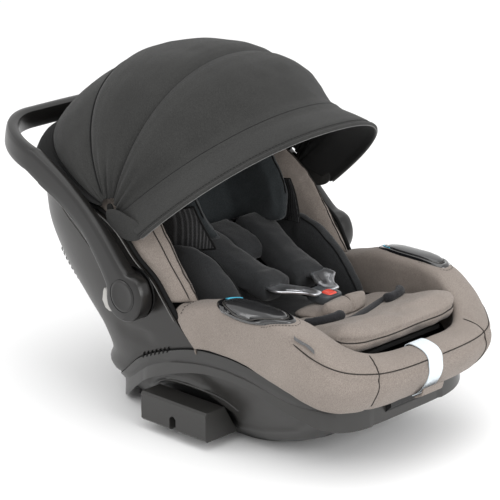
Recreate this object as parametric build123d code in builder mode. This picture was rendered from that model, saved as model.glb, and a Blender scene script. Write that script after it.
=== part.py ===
from build123d import *
import os
from math import atan2, copysign, cos, degrees, hypot, pi, radians, sin, sqrt

os.makedirs("parts", exist_ok=True)

# ---------------------------------------------------------------------------
# Infant car seat: a carrier shell on a moulded base, with a carrying handle,
# a fan canopy, a reclining inner seat and a three-point pad harness.
# Frame: +Z up, +Y towards the head end, -Y towards the feet, X across.
# All profile numbers are written about the handle pivot's station (y = 0)
# and every working plane carries the offset YS to the part's own origin,
# which lies on the floor under the middle of the whole object.
# ---------------------------------------------------------------------------
YS = 26.83                # offset from the handle pivot station to the origin

# driving dimensions, millimetres
HANDLE_PIVOT = (4.0, 198.0)      # y, z of the handle hinge
HANDLE_REACH = 350.0             # pivot to the middle of the grip
HANDLE_LEAN = 30.6               # degrees above horizontal, folded back
ARM_IN, ARM_OUT = 195.5, 211.0   # handle arm faces, from the middle plane
RECLINE_AXIS = (-80.0, 330.0)    # y, z of the virtual recline axis
TRACK_R = 231.0                  # radius of the recline tracks
CANOPY_AXIS = (59.0, 304.0)      # y, z of the canopy hinge
WALL = 5.0                       # moulded shell wall
BASE_WALL = 4.5                  # moulded base wall
PIN_R = 8.0                      # handle pivot pin
SKIN = 3.0                       # padded cover thickness
BAR_R = 5.0                      # docking bars under the base


def side(x=0.0):
    """YZ working plane at x, local x along +Y, local y along +Z."""
    return Plane(origin=(x, YS, 0), x_dir=(0, 1, 0), z_dir=(1, 0, 0))


def level(z=0.0):
    """XY working plane at height z."""
    return Plane(origin=(0, YS, z), x_dir=(1, 0, 0), z_dir=(0, 0, 1))


def station(y=0.0):
    """XZ working plane at station y, local y along +Z."""
    return Plane(origin=(0, YS + y, 0), x_dir=(1, 0, 0), z_dir=(0, -1, 0))


def power(v, p):
    return copysign(abs(v) ** p, v)


def ring(w, yf, yr, n, yc=-100.0, inset=0.0, count=16, xc=0.0):
    """Points of a rounded plan outline: half width w, from yf to yr."""
    pts = []
    for i in range(count):
        t = 2 * pi * (i + 0.5) / count
        c, s = cos(t), sin(t)
        reach = (yr - yc) if s > 0 else (yc - yf)
        pts.append((xc + (w - inset) * power(c, 2 / n),
                    yc + (reach - inset) * power(s, 2 / n)))
    return pts


SCREWS = [(-88, -150), (88, -150), (-88, 20), (88, 20)]

# Outer form of base and shell: z, half width, front, rear, squareness
BODY = [
    (0, 108, -185, 92, 3.5), (18, 128, -234, 138, 4.2), (48, 147, -270, 162, 4.5),
    (80, 162, -306, 142, 4.5), (112, 171, -338, 152, 4.5), (150, 178, -344, 195, 4.0),
    (200, 185, -310, 243, 3.8), (260, 190, -270, 272, 3.8), (312, 190, -240, 279, 3.8),
]


def body(z):
    """The outer form's outline data at height z."""
    for a, b in zip(BODY, BODY[1:]):
        if a[0] <= z <= b[0]:
            f = (z - a[0]) / (b[0] - a[0])
            return tuple(p + (q - p) * f for p, q in zip(a[1:], b[1:]))
    return BODY[-1][1:]


# Parting line between base and shell, seen from the side
ARCH = [(-345, 86), (-318, 91.5), (-290, 102), (-255, 116), (-220, 127),
        (-184, 135.5), (-148, 139), (-111, 137.5), (-83, 133), (-48, 123),
        (-15, 111), (15, 97.5), (35, 86), (57, 70), (80, 53), (105, 38),
        (130, 27), (165, 20)]
# Front edge of the moulded shell, where the padded cover begins
RIM = [(-90, 136), (-62, 169), (-43, 196), (-25, 220), (4, 241.5), (45, 278),
       (95, 298), (160, 305)]
# Top line of the padded front rim
TOP = [(-66, 189), (-80, 195), (-96, 199.5), (-133, 209), (-160, 213), (-210, 213),
       (-252, 207), (-279, 195), (-305, 178), (-322, 166), (-338, 160), (-352, 158),
       (-366, 156)]
# Outer form of the padded front rim
FRONT = [
    (88, 171, -332, 4.0), (104, 176, -352, 4.0), (137, 180.5, -366, 4.2),
    (162, 181, -357, 4.2), (218, 180.5, -328, 4.2),
]
GUIDE_X, GUIDE_Y, GUIDE_A, GUIDE_B = 162.0, -190.0, 16.0, 60.0   # belt guides
WELL_W, WELL_F = 133.0, -326.0   # opening inside the front rim
BACK_Z = 306.0                   # top edge of the rear shell


def raised(line, dz):
    return [(y, z + dz) for y, z in line]


# ---------------------------------------------------------------------------
# Base
# ---------------------------------------------------------------------------
with BuildPart() as base_shell:
    for z in (0, 18, 48, 80, 112, 150):
        with BuildSketch(level(z)):
            with BuildLine():
                Polyline(*ring(*body(z)), close=True)
            make_face()
    loft(ruled=True)
    for z in (5, 18, 48, 80, 112, 150, 160):
        with BuildSketch(level(z)):
            with BuildLine():
                Polyline(*ring(*body(z), inset=BASE_WALL), close=True)
            make_face()
    loft(ruled=True, mode=Mode.SUBTRACT)
    # housings of the two docking bars, open downwards
    with BuildSketch(level(4)):
        with Locations((0, -150), (0, 28)):
            Rectangle(124, 44)
    extrude(amount=24)
    with BuildSketch(level(0)):
        with Locations((0, -150), (0, 28)):
            Rectangle(108, 30)
    extrude(amount=22, mode=Mode.SUBTRACT)
    # bar seats
    with BuildSketch(side(0)):
        with Locations((-150, 13), (28, 13)):
            Circle(BAR_R)
    extrude(amount=60, both=True, mode=Mode.SUBTRACT)
    # notch for the recline handle under the foot end
    with BuildSketch(level(55)):
        with Locations((0, -322)):
            Rectangle(91, 100)
    extrude(amount=45, mode=Mode.SUBTRACT)
    # counterbored screw holes
    with BuildSketch(level(0)):
        with Locations(*SCREWS):
            Circle(5.5)
    extrude(amount=3.6, mode=Mode.SUBTRACT)
    with BuildSketch(level(0)):
        with Locations(*SCREWS):
            Circle(2.6)
    extrude(amount=8, mode=Mode.SUBTRACT)
    # everything above the parting line belongs to the shell
    with BuildSketch(side(0)):
        with BuildLine():
            Polyline(*ARCH)
            Polyline(ARCH[-1], (400, 20), (400, -20), (-500, -20), (-500, 86), ARCH[0])
        make_face()
    extrude(amount=260, both=True, mode=Mode.INTERSECT)
base_shell.part.label = "base_shell"
export_step(base_shell.part, "parts/base_shell.step")

with BuildPart() as base_screws:
    with BuildSketch(level(0.6)):
        with Locations(*SCREWS):
            Circle(5.0)
    extrude(amount=2.9)
    with BuildSketch(level(3.5)):
        with Locations(*SCREWS):
            Circle(2.5)
    extrude(amount=30.2)
base_screws.part.label = "base_screws"
export_step(base_screws.part, "parts/base_screws.step")

with BuildPart() as docking_bars:
    with BuildSketch(side(-59.5)):
        with Locations((-150, 13), (28, 13)):
            Circle(BAR_R)
    extrude(amount=119)
docking_bars.part.label = "docking_bars"
export_step(docking_bars.part, "parts/docking_bars.step")

# Pushchair adapter sockets, one each side, open downwards through a keyhole slot
ADAPTER = [(153.8, 56.0), (187.0, 56.0), (190.0, 53.0), (190.0, 17.0), (187.0, 14.0),
           (127.6, 14.0), (139.4, 32.0), (149.0, 48.0)]
with BuildPart() as adapter_left:
    with BuildSketch(station(-1)):
        with BuildLine():
            Polyline(*[(-x, z) for x, z in ADAPTER], close=True)
        make_face()
    extrude(amount=124)
    with BuildSketch(side(-191)):
        with BuildLine():
            Polyline((-68, 13), (-68, 31), (-64, 35), (-60, 35), (-56, 31), (-56, 13), close=True)
        make_face()
    extrude(amount=24, mode=Mode.SUBTRACT)
adapter_left.part.label = "adapter_left"
export_step(adapter_left.part, "parts/adapter_left.step")

with BuildPart() as adapter_right:
    add(adapter_left.part.mirror(Plane.YZ))
adapter_right.part.label = "adapter_right"
export_step(adapter_right.part, "parts/adapter_right.step")

# ---------------------------------------------------------------------------
# Inner tub: closes the base and carries the recline ribs
# ---------------------------------------------------------------------------
with BuildPart() as seat_tub:
    for z in (31, 48, 80, 112, 150):
        with BuildSketch(level(z)):
            with BuildLine():
                Polyline(*ring(*body(z), inset=BASE_WALL + 1.6), close=True)
            make_face()
    loft(ruled=True)
    for z in (35, 48, 80, 112, 150, 160):
        with BuildSketch(level(z)):
            with BuildLine():
                Polyline(*ring(*body(z), inset=BASE_WALL + 5.2), close=True)
            make_face()
    loft(ruled=True, mode=Mode.SUBTRACT)
    with BuildSketch(side(0)):
        with BuildLine():
            Polyline(*raised(ARCH, -1.0))
            Polyline(raised(ARCH, -1.0)[-1], (400, 19), (400, -20), (-500, -20), (-500, 85),
                     raised(ARCH, -1.0)[0])
        make_face()
    extrude(amount=260, both=True, mode=Mode.INTERSECT)
    with BuildSketch(level(30)):
        with Locations((0, -322)):
            Rectangle(91, 102)
    extrude(amount=65, mode=Mode.SUBTRACT)
    with BuildSketch(level(30)):
        with Locations(*SCREWS):
            Circle(2.6)
    extrude(amount=4, mode=Mode.SUBTRACT)
seat_tub.part.label = "seat_tub"
export_step(seat_tub.part, "parts/seat_tub.step")

# ---------------------------------------------------------------------------
# Rear and side shell with the two handle bosses
# ---------------------------------------------------------------------------
SHELL_CUT = raised(ARCH, 0.6)
with BuildPart() as seat_shell:
    for z in (0, 18, 48, 80, 112, 150, 200, 260, 312):
        with BuildSketch(level(z)):
            with BuildLine():
                Polyline(*ring(*body(z)), close=True)
            make_face()
    loft(ruled=True)
    for z in (-2, 18, 48, 80, 112, 150, 200, 260, 316):
        with BuildSketch(level(z)):
            with BuildLine():
                Polyline(*ring(*body(max(z, 0)), inset=WALL), close=True)
            make_face()
    loft(ruled=True, mode=Mode.SUBTRACT)
    with BuildSketch(side(0)):
        with BuildLine():
            Polyline(*[p for p in SHELL_CUT if p[0] > -90])
            Polyline(SHELL_CUT[-1], (420, 20.6), (420, BACK_Z), (175, BACK_Z), RIM[-1])
            Polyline(*RIM[::-1])
            Line(RIM[0], [p for p in SHELL_CUT if p[0] > -90][0])
        make_face()
    extrude(amount=260, both=True, mode=Mode.INTERSECT)
    # handle bosses
    for s in (-1, 1):
        with BuildSketch(side(s * 178)):
            with Locations(HANDLE_PIVOT):
                Circle(39)
        extrude(amount=s * 14.0)
    # blind seats of the pivot pins
    for s in (-1, 1):
        with BuildSketch(side(s * 182.0)):
            with Locations(HANDLE_PIVOT):
                Circle(PIN_R)
        extrude(amount=s * 12, mode=Mode.SUBTRACT)
seat_shell.part.label = "seat_shell"
export_step(seat_shell.part, "parts/seat_shell.step")

# Detent rings between boss and handle hub
with BuildPart() as detent_ring_left:
    with BuildSketch(side(-192.1)):
        with Locations(HANDLE_PIVOT):
            Circle(31)
            Circle(PIN_R + 0.4, mode=Mode.SUBTRACT)
        with Locations(HANDLE_PIVOT):
            with PolarLocations(31, 12):
                Circle(2.6, mode=Mode.SUBTRACT)
    extrude(amount=-2.2)

with BuildPart() as detent_rings:
    add(detent_ring_left.part)
    add(detent_ring_left.part.mirror(Plane.YZ))
detent_rings.part.label = "detent_rings"
export_step(detent_rings.part, "parts/detent_rings.step")

with BuildPart() as pivot_pin_left:
    with BuildSketch(side(-182.2)):
        with Locations(HANDLE_PIVOT):
            Circle(PIN_R - 0.05)
    extrude(amount=-28.6)

with BuildPart() as pivot_pins:
    add(pivot_pin_left.part)
    add(pivot_pin_left.part.mirror(Plane.YZ))
pivot_pins.part.label = "pivot_pins"
export_step(pivot_pins.part, "parts/pivot_pins.step")

# ---------------------------------------------------------------------------
# Recline ribs: two webs behind the seat, their inner edges are the tracks
# ---------------------------------------------------------------------------
with BuildPart() as recline_rib_left:
    for z in (40, 48, 80, 112, 150, 200, 244):
        with BuildSketch(level(z)):
            with BuildLine():
                Polyline(*ring(*body(z), inset=12.5), close=True)
            make_face()
    loft(ruled=True)
    with BuildSketch(side(-71)):
        with BuildLine():
            Polyline((-196, 36), (300, 36), (300, 238), (-196, 238), close=True)
        make_face()
    extrude(amount=9, mode=Mode.INTERSECT)
    with BuildSketch(side(-90)):
        with Locations(RECLINE_AXIS):
            Circle(TRACK_R)
    extrude(amount=50, mode=Mode.SUBTRACT)
    # lightening windows
    with BuildSketch(side(-90)):
        with Locations((150, 190), (118, 118), (20, 66), (-90, 62), (-165, 66)):
            Circle(13)
    extrude(amount=50, mode=Mode.SUBTRACT)

with BuildPart() as recline_ribs:
    add(recline_rib_left.part)
    add(recline_rib_left.part.mirror(Plane.YZ))
recline_ribs.part.label = "recline_ribs"
export_step(recline_ribs.part, "parts/recline_ribs.step")

# Energy-absorbing foam behind the back, between the ribs
with BuildPart() as back_foam:
    for z in (140, 150, 200, 260, 298):
        with BuildSketch(level(z)):
            with BuildLine():
                Polyline(*ring(*body(z), inset=WALL + 1.5), close=True)
            make_face()
    loft(ruled=True)
    for z in (135, 150, 200, 260, 302):
        with BuildSketch(level(z)):
            with BuildLine():
                Polyline(*ring(*body(z), inset=WALL + 21.5), close=True)
            make_face()
    loft(ruled=True, mode=Mode.SUBTRACT)
    with BuildSketch(level(142)):
        with Locations((0, 200)):
            Rectangle(116, 200)
    extrude(amount=154, mode=Mode.INTERSECT)
back_foam.part.label = "back_foam"
export_step(back_foam.part, "parts/back_foam.step")

# ---------------------------------------------------------------------------
# Padded front rim: foam core and woven cover
# ---------------------------------------------------------------------------

def rim_outline(inset):
    """Side outline of the padded rim, drawn in by inset."""
    low = [(y, z + 1.8 + inset) for y, z in ARCH if -330 < y < -100]
    top = [(y, z - inset) for y, z in TOP]
    return low, top


with BuildPart() as front_core:
    for z, w, yf, n in FRONT:
        with BuildSketch(level(z)):
            with BuildLine():
                Polyline(*ring(w, yf, 40, n, yc=-150, inset=SKIN + 0.1), close=True)
            make_face()
    loft(ruled=True)
    with BuildSketch(level(60)):
        with BuildLine():
            Polyline(*ring(WELL_W, WELL_F, 60, 4.0, yc=-150, inset=-(SKIN + 0.1)), close=True)
        make_face()
    extrude(amount=200, mode=Mode.SUBTRACT)
    low, top = rim_outline(SKIN + 0.1)
    with BuildSketch(side(0)):
        with BuildLine():
            Polyline((-62, 180.5), (-69.5, 169), (-98, 142.5), low[-1])
            Polyline(*low[::-1])
            Polyline(low[0], (-345, 96.6), (-420, 96.6), (-420, 153), top[-1])
            Polyline(*top[::-1])
            Line(top[0], (-62, 180.5))
        make_face()
    extrude(amount=260, both=True, mode=Mode.INTERSECT)
    # pockets of the belt guides
    with BuildSketch(level(197)):
        with Locations((-GUIDE_X, GUIDE_Y), (GUIDE_X, GUIDE_Y)):
            Ellipse(GUIDE_A + 1, GUIDE_B + 1)
    extrude(amount=30, mode=Mode.SUBTRACT)
front_core.part.label = "front_core"
export_step(front_core.part, "parts/front_core.step")

with BuildPart() as front_cover:
    for z, w, yf, n in FRONT:
        with BuildSketch(level(z)):
            with BuildLine():
                Polyline(*ring(w, yf, 40, n, yc=-150), close=True)
            make_face()
    loft(ruled=True)
    with BuildSketch(level(60)):
        with BuildLine():
            Polyline(*ring(WELL_W, WELL_F, 60, 4.0, yc=-150), close=True)
        make_face()
    extrude(amount=200, mode=Mode.SUBTRACT)
    low, top = rim_outline(0.0)
    with BuildSketch(side(0)):
        with BuildLine():
            Polyline((-57, 183), (-65.5, 169), (-94, 139.6), low[-1])
            Polyline(*low[::-1])
            Polyline(low[0], (-345, 93.5), (-420, 93.5), (-420, 156), top[-1])
            Polyline(*top[::-1])
            Line(top[0], (-57, 183))
        make_face()
    extrude(amount=260, both=True, mode=Mode.INTERSECT)
    with BuildSketch(level(197)):
        with Locations((-GUIDE_X, GUIDE_Y), (GUIDE_X, GUIDE_Y)):
            Ellipse(GUIDE_A + 1, GUIDE_B + 1)
    extrude(amount=30, mode=Mode.SUBTRACT)
    add(front_core.part, mode=Mode.SUBTRACT)
front_cover.part.label = "front_cover"
export_step(front_cover.part, "parts/front_cover.step")

# ---------------------------------------------------------------------------
# Belt guides on both armrests: dish, lid and coloured mark
# ---------------------------------------------------------------------------
with BuildPart() as belt_guide_left:
    with BuildSketch(level(197.5)):
        with Locations((-GUIDE_X, GUIDE_Y)):
            Ellipse(GUIDE_A, GUIDE_B)
    extrude(amount=16)
    with BuildSketch(side(-190)):
        with BuildLine():
            Polyline((-120, 190), (-120, 207.5), (-160, 212.5), (-205, 212), (-262, 202), (-262, 190), close=True)
        make_face()
    extrude(amount=60, mode=Mode.INTERSECT)
belt_guide_left.part.label = "belt_guide_left"
export_step(belt_guide_left.part, "parts/belt_guide_left.step")

with BuildPart() as belt_guide_right:
    add(belt_guide_left.part.mirror(Plane.YZ))
belt_guide_right.part.label = "belt_guide_right"
export_step(belt_guide_right.part, "parts/belt_guide_right.step")

with BuildPart() as guide_lid_left:
    with BuildSketch(level(198)):
        with Locations((-GUIDE_X, GUIDE_Y - 4)):
            Ellipse(GUIDE_A - 2.5, GUIDE_B - 10)
    extrude(amount=30)
    with BuildSketch(side(-190)):
        with BuildLine():
            Polyline((-120, 207.8), (-160, 212.8), (-205, 212.3), (-262, 202.3), (-262, 207.3),
                     (-205, 216.3), (-160, 216.3), (-120, 210.3), close=True)
        make_face()
    extrude(amount=60, mode=Mode.INTERSECT)
guide_lid_left.part.label = "guide_lid_left"
export_step(guide_lid_left.part, "parts/guide_lid_left.step")

with BuildPart() as guide_lid_right:
    add(guide_lid_left.part.mirror(Plane.YZ))
guide_lid_right.part.label = "guide_lid_right"
export_step(guide_lid_right.part, "parts/guide_lid_right.step")

with BuildPart() as belt_marks:
    with BuildSketch(level(210.5)):
        with Locations((-GUIDE_X, -137.5), (GUIDE_X, -137.5)):
            Ellipse(7, 2.4)
    extrude(amount=1.5)
belt_marks.part.label = "belt_marks"
export_step(belt_marks.part, "parts/belt_marks.step")

# Bare pull band round the middle of the front rim, and a bare side tag
BAND = [(-330, 164.6), (-338, 161.4), (-352, 159.4), (-358.5, 158.4), (-367.4, 137), (-353.4, 103), (-346.6, 94.5)]
with BuildPart() as front_band:
    with BuildSketch(side(-20)):
        with BuildLine():
            Polyline(*BAND, *[(y - 1.2, z + 0.9) for y, z in BAND[::-1]], close=True)
        make_face()
    extrude(amount=27)
front_band.part.label = "front_band"
export_step(front_band.part, "parts/front_band.step")

with BuildPart() as side_tag:
    with BuildSketch(level(180)):
        with BuildLine():
            Polyline((-178.2, -268), (-166.6, -300), (-167.8, -300.6), (-179.4, -268.6), close=True)
        make_face()
    extrude(amount=12)
side_tag.part.label = "side_tag"
export_step(side_tag.part, "parts/side_tag.step")

# ---------------------------------------------------------------------------
# Recline handle: a pull lever under the foot end, sprung back
# ---------------------------------------------------------------------------
with BuildPart() as recline_handle:
    with BuildSketch(side(-43)):
        with BuildLine():
            Polyline((-322, 89), (-323, 78), (-313, 68), (-297, 62), (-277, 62), (-277, 89), close=True)
        make_face()
    extrude(amount=86)
    with BuildSketch(level(62)):
        with Locations((0, -291)):
            Rectangle(62, 12)
    extrude(amount=18, mode=Mode.SUBTRACT)
recline_handle.part.label = "recline_handle"
export_step(recline_handle.part, "parts/recline_handle.step")

# ---------------------------------------------------------------------------
# Padded side wings of the shell
# ---------------------------------------------------------------------------
WING = [  # z, inner x, outer x, front y, rear y
    (190, 144, 174, -58, 60), (250, 142, 176, -46, 118), (300, 132, 168, -2, 150),
    (340, 120, 154, 44, 172), (388, 104, 134, 96, 190),
]
with BuildPart() as wing_left:
    for z, xi, xo, yf, yr in WING:
        with BuildSketch(level(z)):
            with BuildLine():
                Polyline(*ring((xo - xi) / 2, yf, yr, 4.0, yc=(yf + yr) / 2, xc=-(xi + xo) / 2), close=True)
            make_face()
    loft(ruled=True)
wing_left.part.label = "wing_left"
export_step(wing_left.part, "parts/wing_left.step")

with BuildPart() as wing_right:
    add(wing_left.part.mirror(Plane.YZ))
wing_right.part.label = "wing_right"
export_step(wing_right.part, "parts/wing_right.step")

# ---------------------------------------------------------------------------
# Inner seat: carriage, cushions, infant insert, headrest and harness
# ---------------------------------------------------------------------------
CARRIAGE = [(-300, 150), (-250, 141), (-200, 134.5), (-150, 118.5), (-100, 111.5), (-40, 108),
            (0, 116), (30, 131), (58, 151), (82, 173), (104, 203), (122, 240), (140, 280),
            (165, 350), (180, 395)]


def offset_line(line, d):
    """The side line moved by d to its left, seen along its direction."""
    out = []
    for i, (y, z) in enumerate(line):
        a, b = line[max(i - 1, 0)], line[min(i + 1, len(line) - 1)]
        ty, tz = b[0] - a[0], b[1] - a[1]
        k = hypot(ty, tz)
        out.append((y - d * tz / k, z + d * ty / k))
    return out


with BuildPart() as seat_carriage:
    with BuildSketch(side(0)):
        with BuildLine():
            Polyline(*CARRIAGE, *offset_line(CARRIAGE, 5.0)[::-1], close=True)
        make_face()
    extrude(amount=116, both=True)
    with BuildSketch(station(220)):
        with BuildLine():
            Polyline((-116, 90), (116, 90), (116, 290), (94, 400), (-94, 400), (-116, 290), close=True)
        make_face()
    extrude(amount=560, mode=Mode.INTERSECT)
    with BuildSketch(level(60)):
        with BuildLine():
            Polyline((-116, -255), (-84, -300), (84, -300), (116, -255), (116, 230), (-116, 230), close=True)
        make_face()
    extrude(amount=380, mode=Mode.INTERSECT)
    # sliding shoes on the recline tracks
    for s in (-1, 1):
        for a in (-78, -40):
            with BuildSketch(side(s * 61.5)):
                with Locations(RECLINE_AXIS):
                    Circle(TRACK_R - 0.4)
                    Circle(TRACK_R - 7.5, mode=Mode.SUBTRACT)
                with Locations(Location((RECLINE_AXIS[0] + 226 * cos(radians(a)), RECLINE_AXIS[1] + 226 * sin(radians(a))), a)):
                    Rectangle(16, 34, mode=Mode.INTERSECT)
            extrude(amount=s * 9)
seat_carriage.part.label = "seat_carriage"
export_step(seat_carriage.part, "parts/seat_carriage.step")

with BuildPart() as leg_cushion:
    with BuildSketch(side(0)):
        with BuildLine():
            Polyline((-146, 125), (-146, 158), (-200, 167.5), (-240, 175), (-280, 188), (-304, 197), (-318, 197),
                     (-324.2, 189), (-322.6, 178), (-311, 168.5), (-300, 161.5), (-250, 149.2), (-200, 141.4), (-150, 128.2), close=True)
        make_face()
    extrude(amount=125, both=True)
    with BuildSketch(level(100)):
        with BuildLine():
            Polyline(*ring(118, -325.5, -110, 3.0, yc=-200), close=True)
        make_face()
    extrude(amount=150, mode=Mode.INTERSECT)
    # slots of the crotch strap and of the harness adjuster
    with BuildSketch(level(110)):
        with Locations((0, -169)):
            Rectangle(32, 4)
        with Locations((0, -260)):
            Rectangle(25, 23)
    extrude(amount=110, mode=Mode.SUBTRACT)
leg_cushion.part.label = "leg_cushion"
export_step(leg_cushion.part, "parts/leg_cushion.step")

with BuildPart() as insert_base:
    with BuildSketch(side(0)):
        with BuildLine():
            Polyline((-145, 126), (-100, 117.5), (-42, 114.2), (-2, 121.5), (27, 136.5), (52, 155), (38, 172),
                     (10, 152), (-20, 142), (-60, 140), (-100, 142), (-145, 149), close=True)
        make_face()
    extrude(amount=95, both=True)
insert_base.part.label = "insert_base"
export_step(insert_base.part, "parts/insert_base.step")

with BuildPart() as insert_back:
    with BuildSketch(side(0)):
        with BuildLine():
            Polyline((54, 157), (76, 178), (97, 207), (99, 211), (66, 224), (54, 196), (40, 173.5), close=True)
        make_face()
    extrude(amount=95, both=True)
insert_back.part.label = "insert_back"
export_step(insert_back.part, "parts/insert_back.step")

with BuildPart() as insert_bolster_left:
    with BuildSketch(side(-124)):
        with BuildLine():
            Polyline((96, 214), (84, 226), (54, 234), (20, 246), (-21, 254), (-60, 243), (-98, 217), (-125, 186),
                     (-143, 160), (-144, 127), (-100, 118), (-42, 114.8), (-2, 122), (26, 137), (52, 156.5), (74, 178), close=True)
        make_face()
    extrude(amount=27)
insert_bolster_left.part.label = "insert_bolster_left"
export_step(insert_bolster_left.part, "parts/insert_bolster_left.step")

with BuildPart() as insert_bolster_right:
    add(insert_bolster_left.part.mirror(Plane.YZ))
insert_bolster_right.part.label = "insert_bolster_right"
export_step(insert_bolster_right.part, "parts/insert_bolster_right.step")

with BuildPart() as insert_roll_left:
    with BuildSketch(Plane(origin=(-40, YS - 236, 186.5), z_dir=(-60, 21, -5))):
        Circle(8)
    extrude(amount=62)

with BuildPart() as insert_rolls:
    add(insert_roll_left.part)
    add(insert_roll_left.part.mirror(Plane.YZ))
insert_rolls.part.label = "insert_rolls"
export_step(insert_rolls.part, "parts/insert_rolls.step")

with BuildPart() as mesh_panel_left:
    with BuildSketch(side(-114)):
        with BuildLine():
            Polyline((-18, 258), (-5, 300), (30, 330), (110, 322), (104, 234), (56, 237), close=True)
        make_face()
    extrude(amount=8)

with BuildPart() as mesh_panels:
    add(mesh_panel_left.part)
    add(mesh_panel_left.part.mirror(Plane.YZ))
mesh_panels.part.label = "mesh_panels"
export_step(mesh_panels.part, "parts/mesh_panels.step")

# Headrest, drawn in a plane square to the backrest, local y towards the back
BACK_DIR = (0.368, 0.930)


def back_plane(d):
    """Plane square to the backrest line, d up the back from its reference."""
    return Plane(origin=(0, YS + 117 + d * BACK_DIR[0], 250 + d * BACK_DIR[1]), x_dir=(1, 0, 0),
                 z_dir=(0, BACK_DIR[0], BACK_DIR[1]))


with BuildPart() as headrest_shell:
    with BuildSketch(back_plane(-26)):
        with Locations((0, -4.2)):
            Rectangle(188, 3.0)
    extrude(amount=158)
headrest_shell.part.label = "headrest_shell"
export_step(headrest_shell.part, "parts/headrest_shell.step")

with BuildPart() as head_pad:
    with BuildSketch(back_plane(-30)):
        with BuildLine():
            Polyline((-98, -6), (98, -6), (99, -80), (95, -112), (86, -118), (76, -110), (70, -70), (58, -48),
                     (30, -40), (-30, -40), (-58, -48), (-70, -70), (-76, -110), (-86, -118), (-95, -112),
                     (-99, -80), close=True)
        make_face()
    extrude(amount=150)
    with BuildSketch(side(0)):
        with BuildLine():
            Polyline((20, 190), (103, 190), (200, 300), (200, 420), (96, 420), (10, 345), (-20, 300), (-16, 262), (36, 232), close=True)
        make_face()
    extrude(amount=120, both=True, mode=Mode.INTERSECT)
head_pad.part.label = "head_pad"
export_step(head_pad.part, "parts/head_pad.step")

with BuildPart() as crotch_pad:
    with BuildSketch(side(0)):
        with BuildLine():
            Polyline((-216, 173), (-213, 188), (-204, 196), (-195, 189), (-189.5, 177), (-150, 171), (-139, 165),
                     (-150, 161), (-200, 169), close=True)
        make_face()
    extrude(amount=50, both=True)
    with BuildSketch(level(150)):
        with BuildLine():
            Polyline(*ring(48, -218, -134, 3.0, yc=-176), close=True)
        make_face()
    extrude(amount=60, mode=Mode.INTERSECT)
crotch_pad.part.label = "crotch_pad"
export_step(crotch_pad.part, "parts/crotch_pad.step")

with BuildPart() as crotch_strap:
    with BuildSketch(level(136)):
        with Locations((0, -169)):
            Rectangle(28, 2)
    extrude(amount=27)
crotch_strap.part.label = "crotch_strap"
export_step(crotch_strap.part, "parts/crotch_strap.step")

with BuildPart() as buckle_housing:
    with BuildSketch(level(179)):
        with Locations((0, -166)):
            RectangleRounded(38, 42, 8)
    extrude(amount=14)
    with BuildSketch(level(183)):
        with Locations((0, -175)):
            Rectangle(15.6, 16.6)
    extrude(amount=20, mode=Mode.SUBTRACT)
buckle_housing.part.label = "buckle_housing"
export_step(buckle_housing.part, "parts/buckle_housing.step")

with BuildPart() as buckle_button:
    with BuildSketch(level(187)):
        with Locations((0, -175)):
            Rectangle(15, 16)
    extrude(amount=7.8)
buckle_button.part.label = "buckle_button"
export_step(buckle_button.part, "parts/buckle_button.step")

with BuildPart() as tongue_left:
    with BuildSketch(level(185.5)):
        with BuildLine():
            Polyline((-4, -144.6), (-17, -144.6), (-44, -118), (-40, -108), (-16, -112), (-4, -126), close=True)
        make_face()
    extrude(amount=3)
tongue_left.part.label = "tongue_left"
export_step(tongue_left.part, "parts/tongue_left.step")

with BuildPart() as tongue_right:
    add(tongue_left.part.mirror(Plane.YZ))
tongue_right.part.label = "tongue_right"
export_step(tongue_right.part, "parts/tongue_right.step")

PAD = [(-103, 174), (-70, 178), (-20, 196), (20, 220), (38, 236), (28, 258), (0, 244), (-40, 222), (-80, 206),
       (-105, 199)]
with BuildPart() as shoulder_pad_left:
    with BuildSketch(side(-68)):
        with BuildLine():
            Polyline(*PAD, close=True)
        make_face()
    extrude(amount=56)
shoulder_pad_left.part.label = "shoulder_pad_left"
export_step(shoulder_pad_left.part, "parts/shoulder_pad_left.step")

with BuildPart() as shoulder_pad_right:
    add(shoulder_pad_left.part.mirror(Plane.YZ))
shoulder_pad_right.part.label = "shoulder_pad_right"
export_step(shoulder_pad_right.part, "parts/shoulder_pad_right.step")

with BuildPart() as harness_straps:
    for s in (-1, 1):
        with BuildSketch(side(s * 26)):
            with BuildLine():
                Polyline((39.5, 237.5), (60, 222), (64, 225.5), (41, 240), close=True)
            make_face()
        extrude(amount=s * 28)
harness_straps.part.label = "harness_straps"
export_step(harness_straps.part, "parts/harness_straps.step")

with BuildPart() as harness_adjuster:
    with BuildSketch(level(151.4)):
        with Locations((0, -260)):
            Rectangle(22, 20)
    extrude(amount=12.6)
    with BuildSketch(level(157)):
        with Locations((0, -260)):
            Rectangle(14.6, 12.6)
    extrude(amount=10, mode=Mode.SUBTRACT)
harness_adjuster.part.label = "harness_adjuster"
export_step(harness_adjuster.part, "parts/harness_adjuster.step")

with BuildPart() as adjuster_button:
    with BuildSketch(level(161)):
        with Locations((0, -260)):
            Rectangle(14, 12)
    extrude(amount=8)
adjuster_button.part.label = "adjuster_button"
export_step(adjuster_button.part, "parts/adjuster_button.step")

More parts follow.
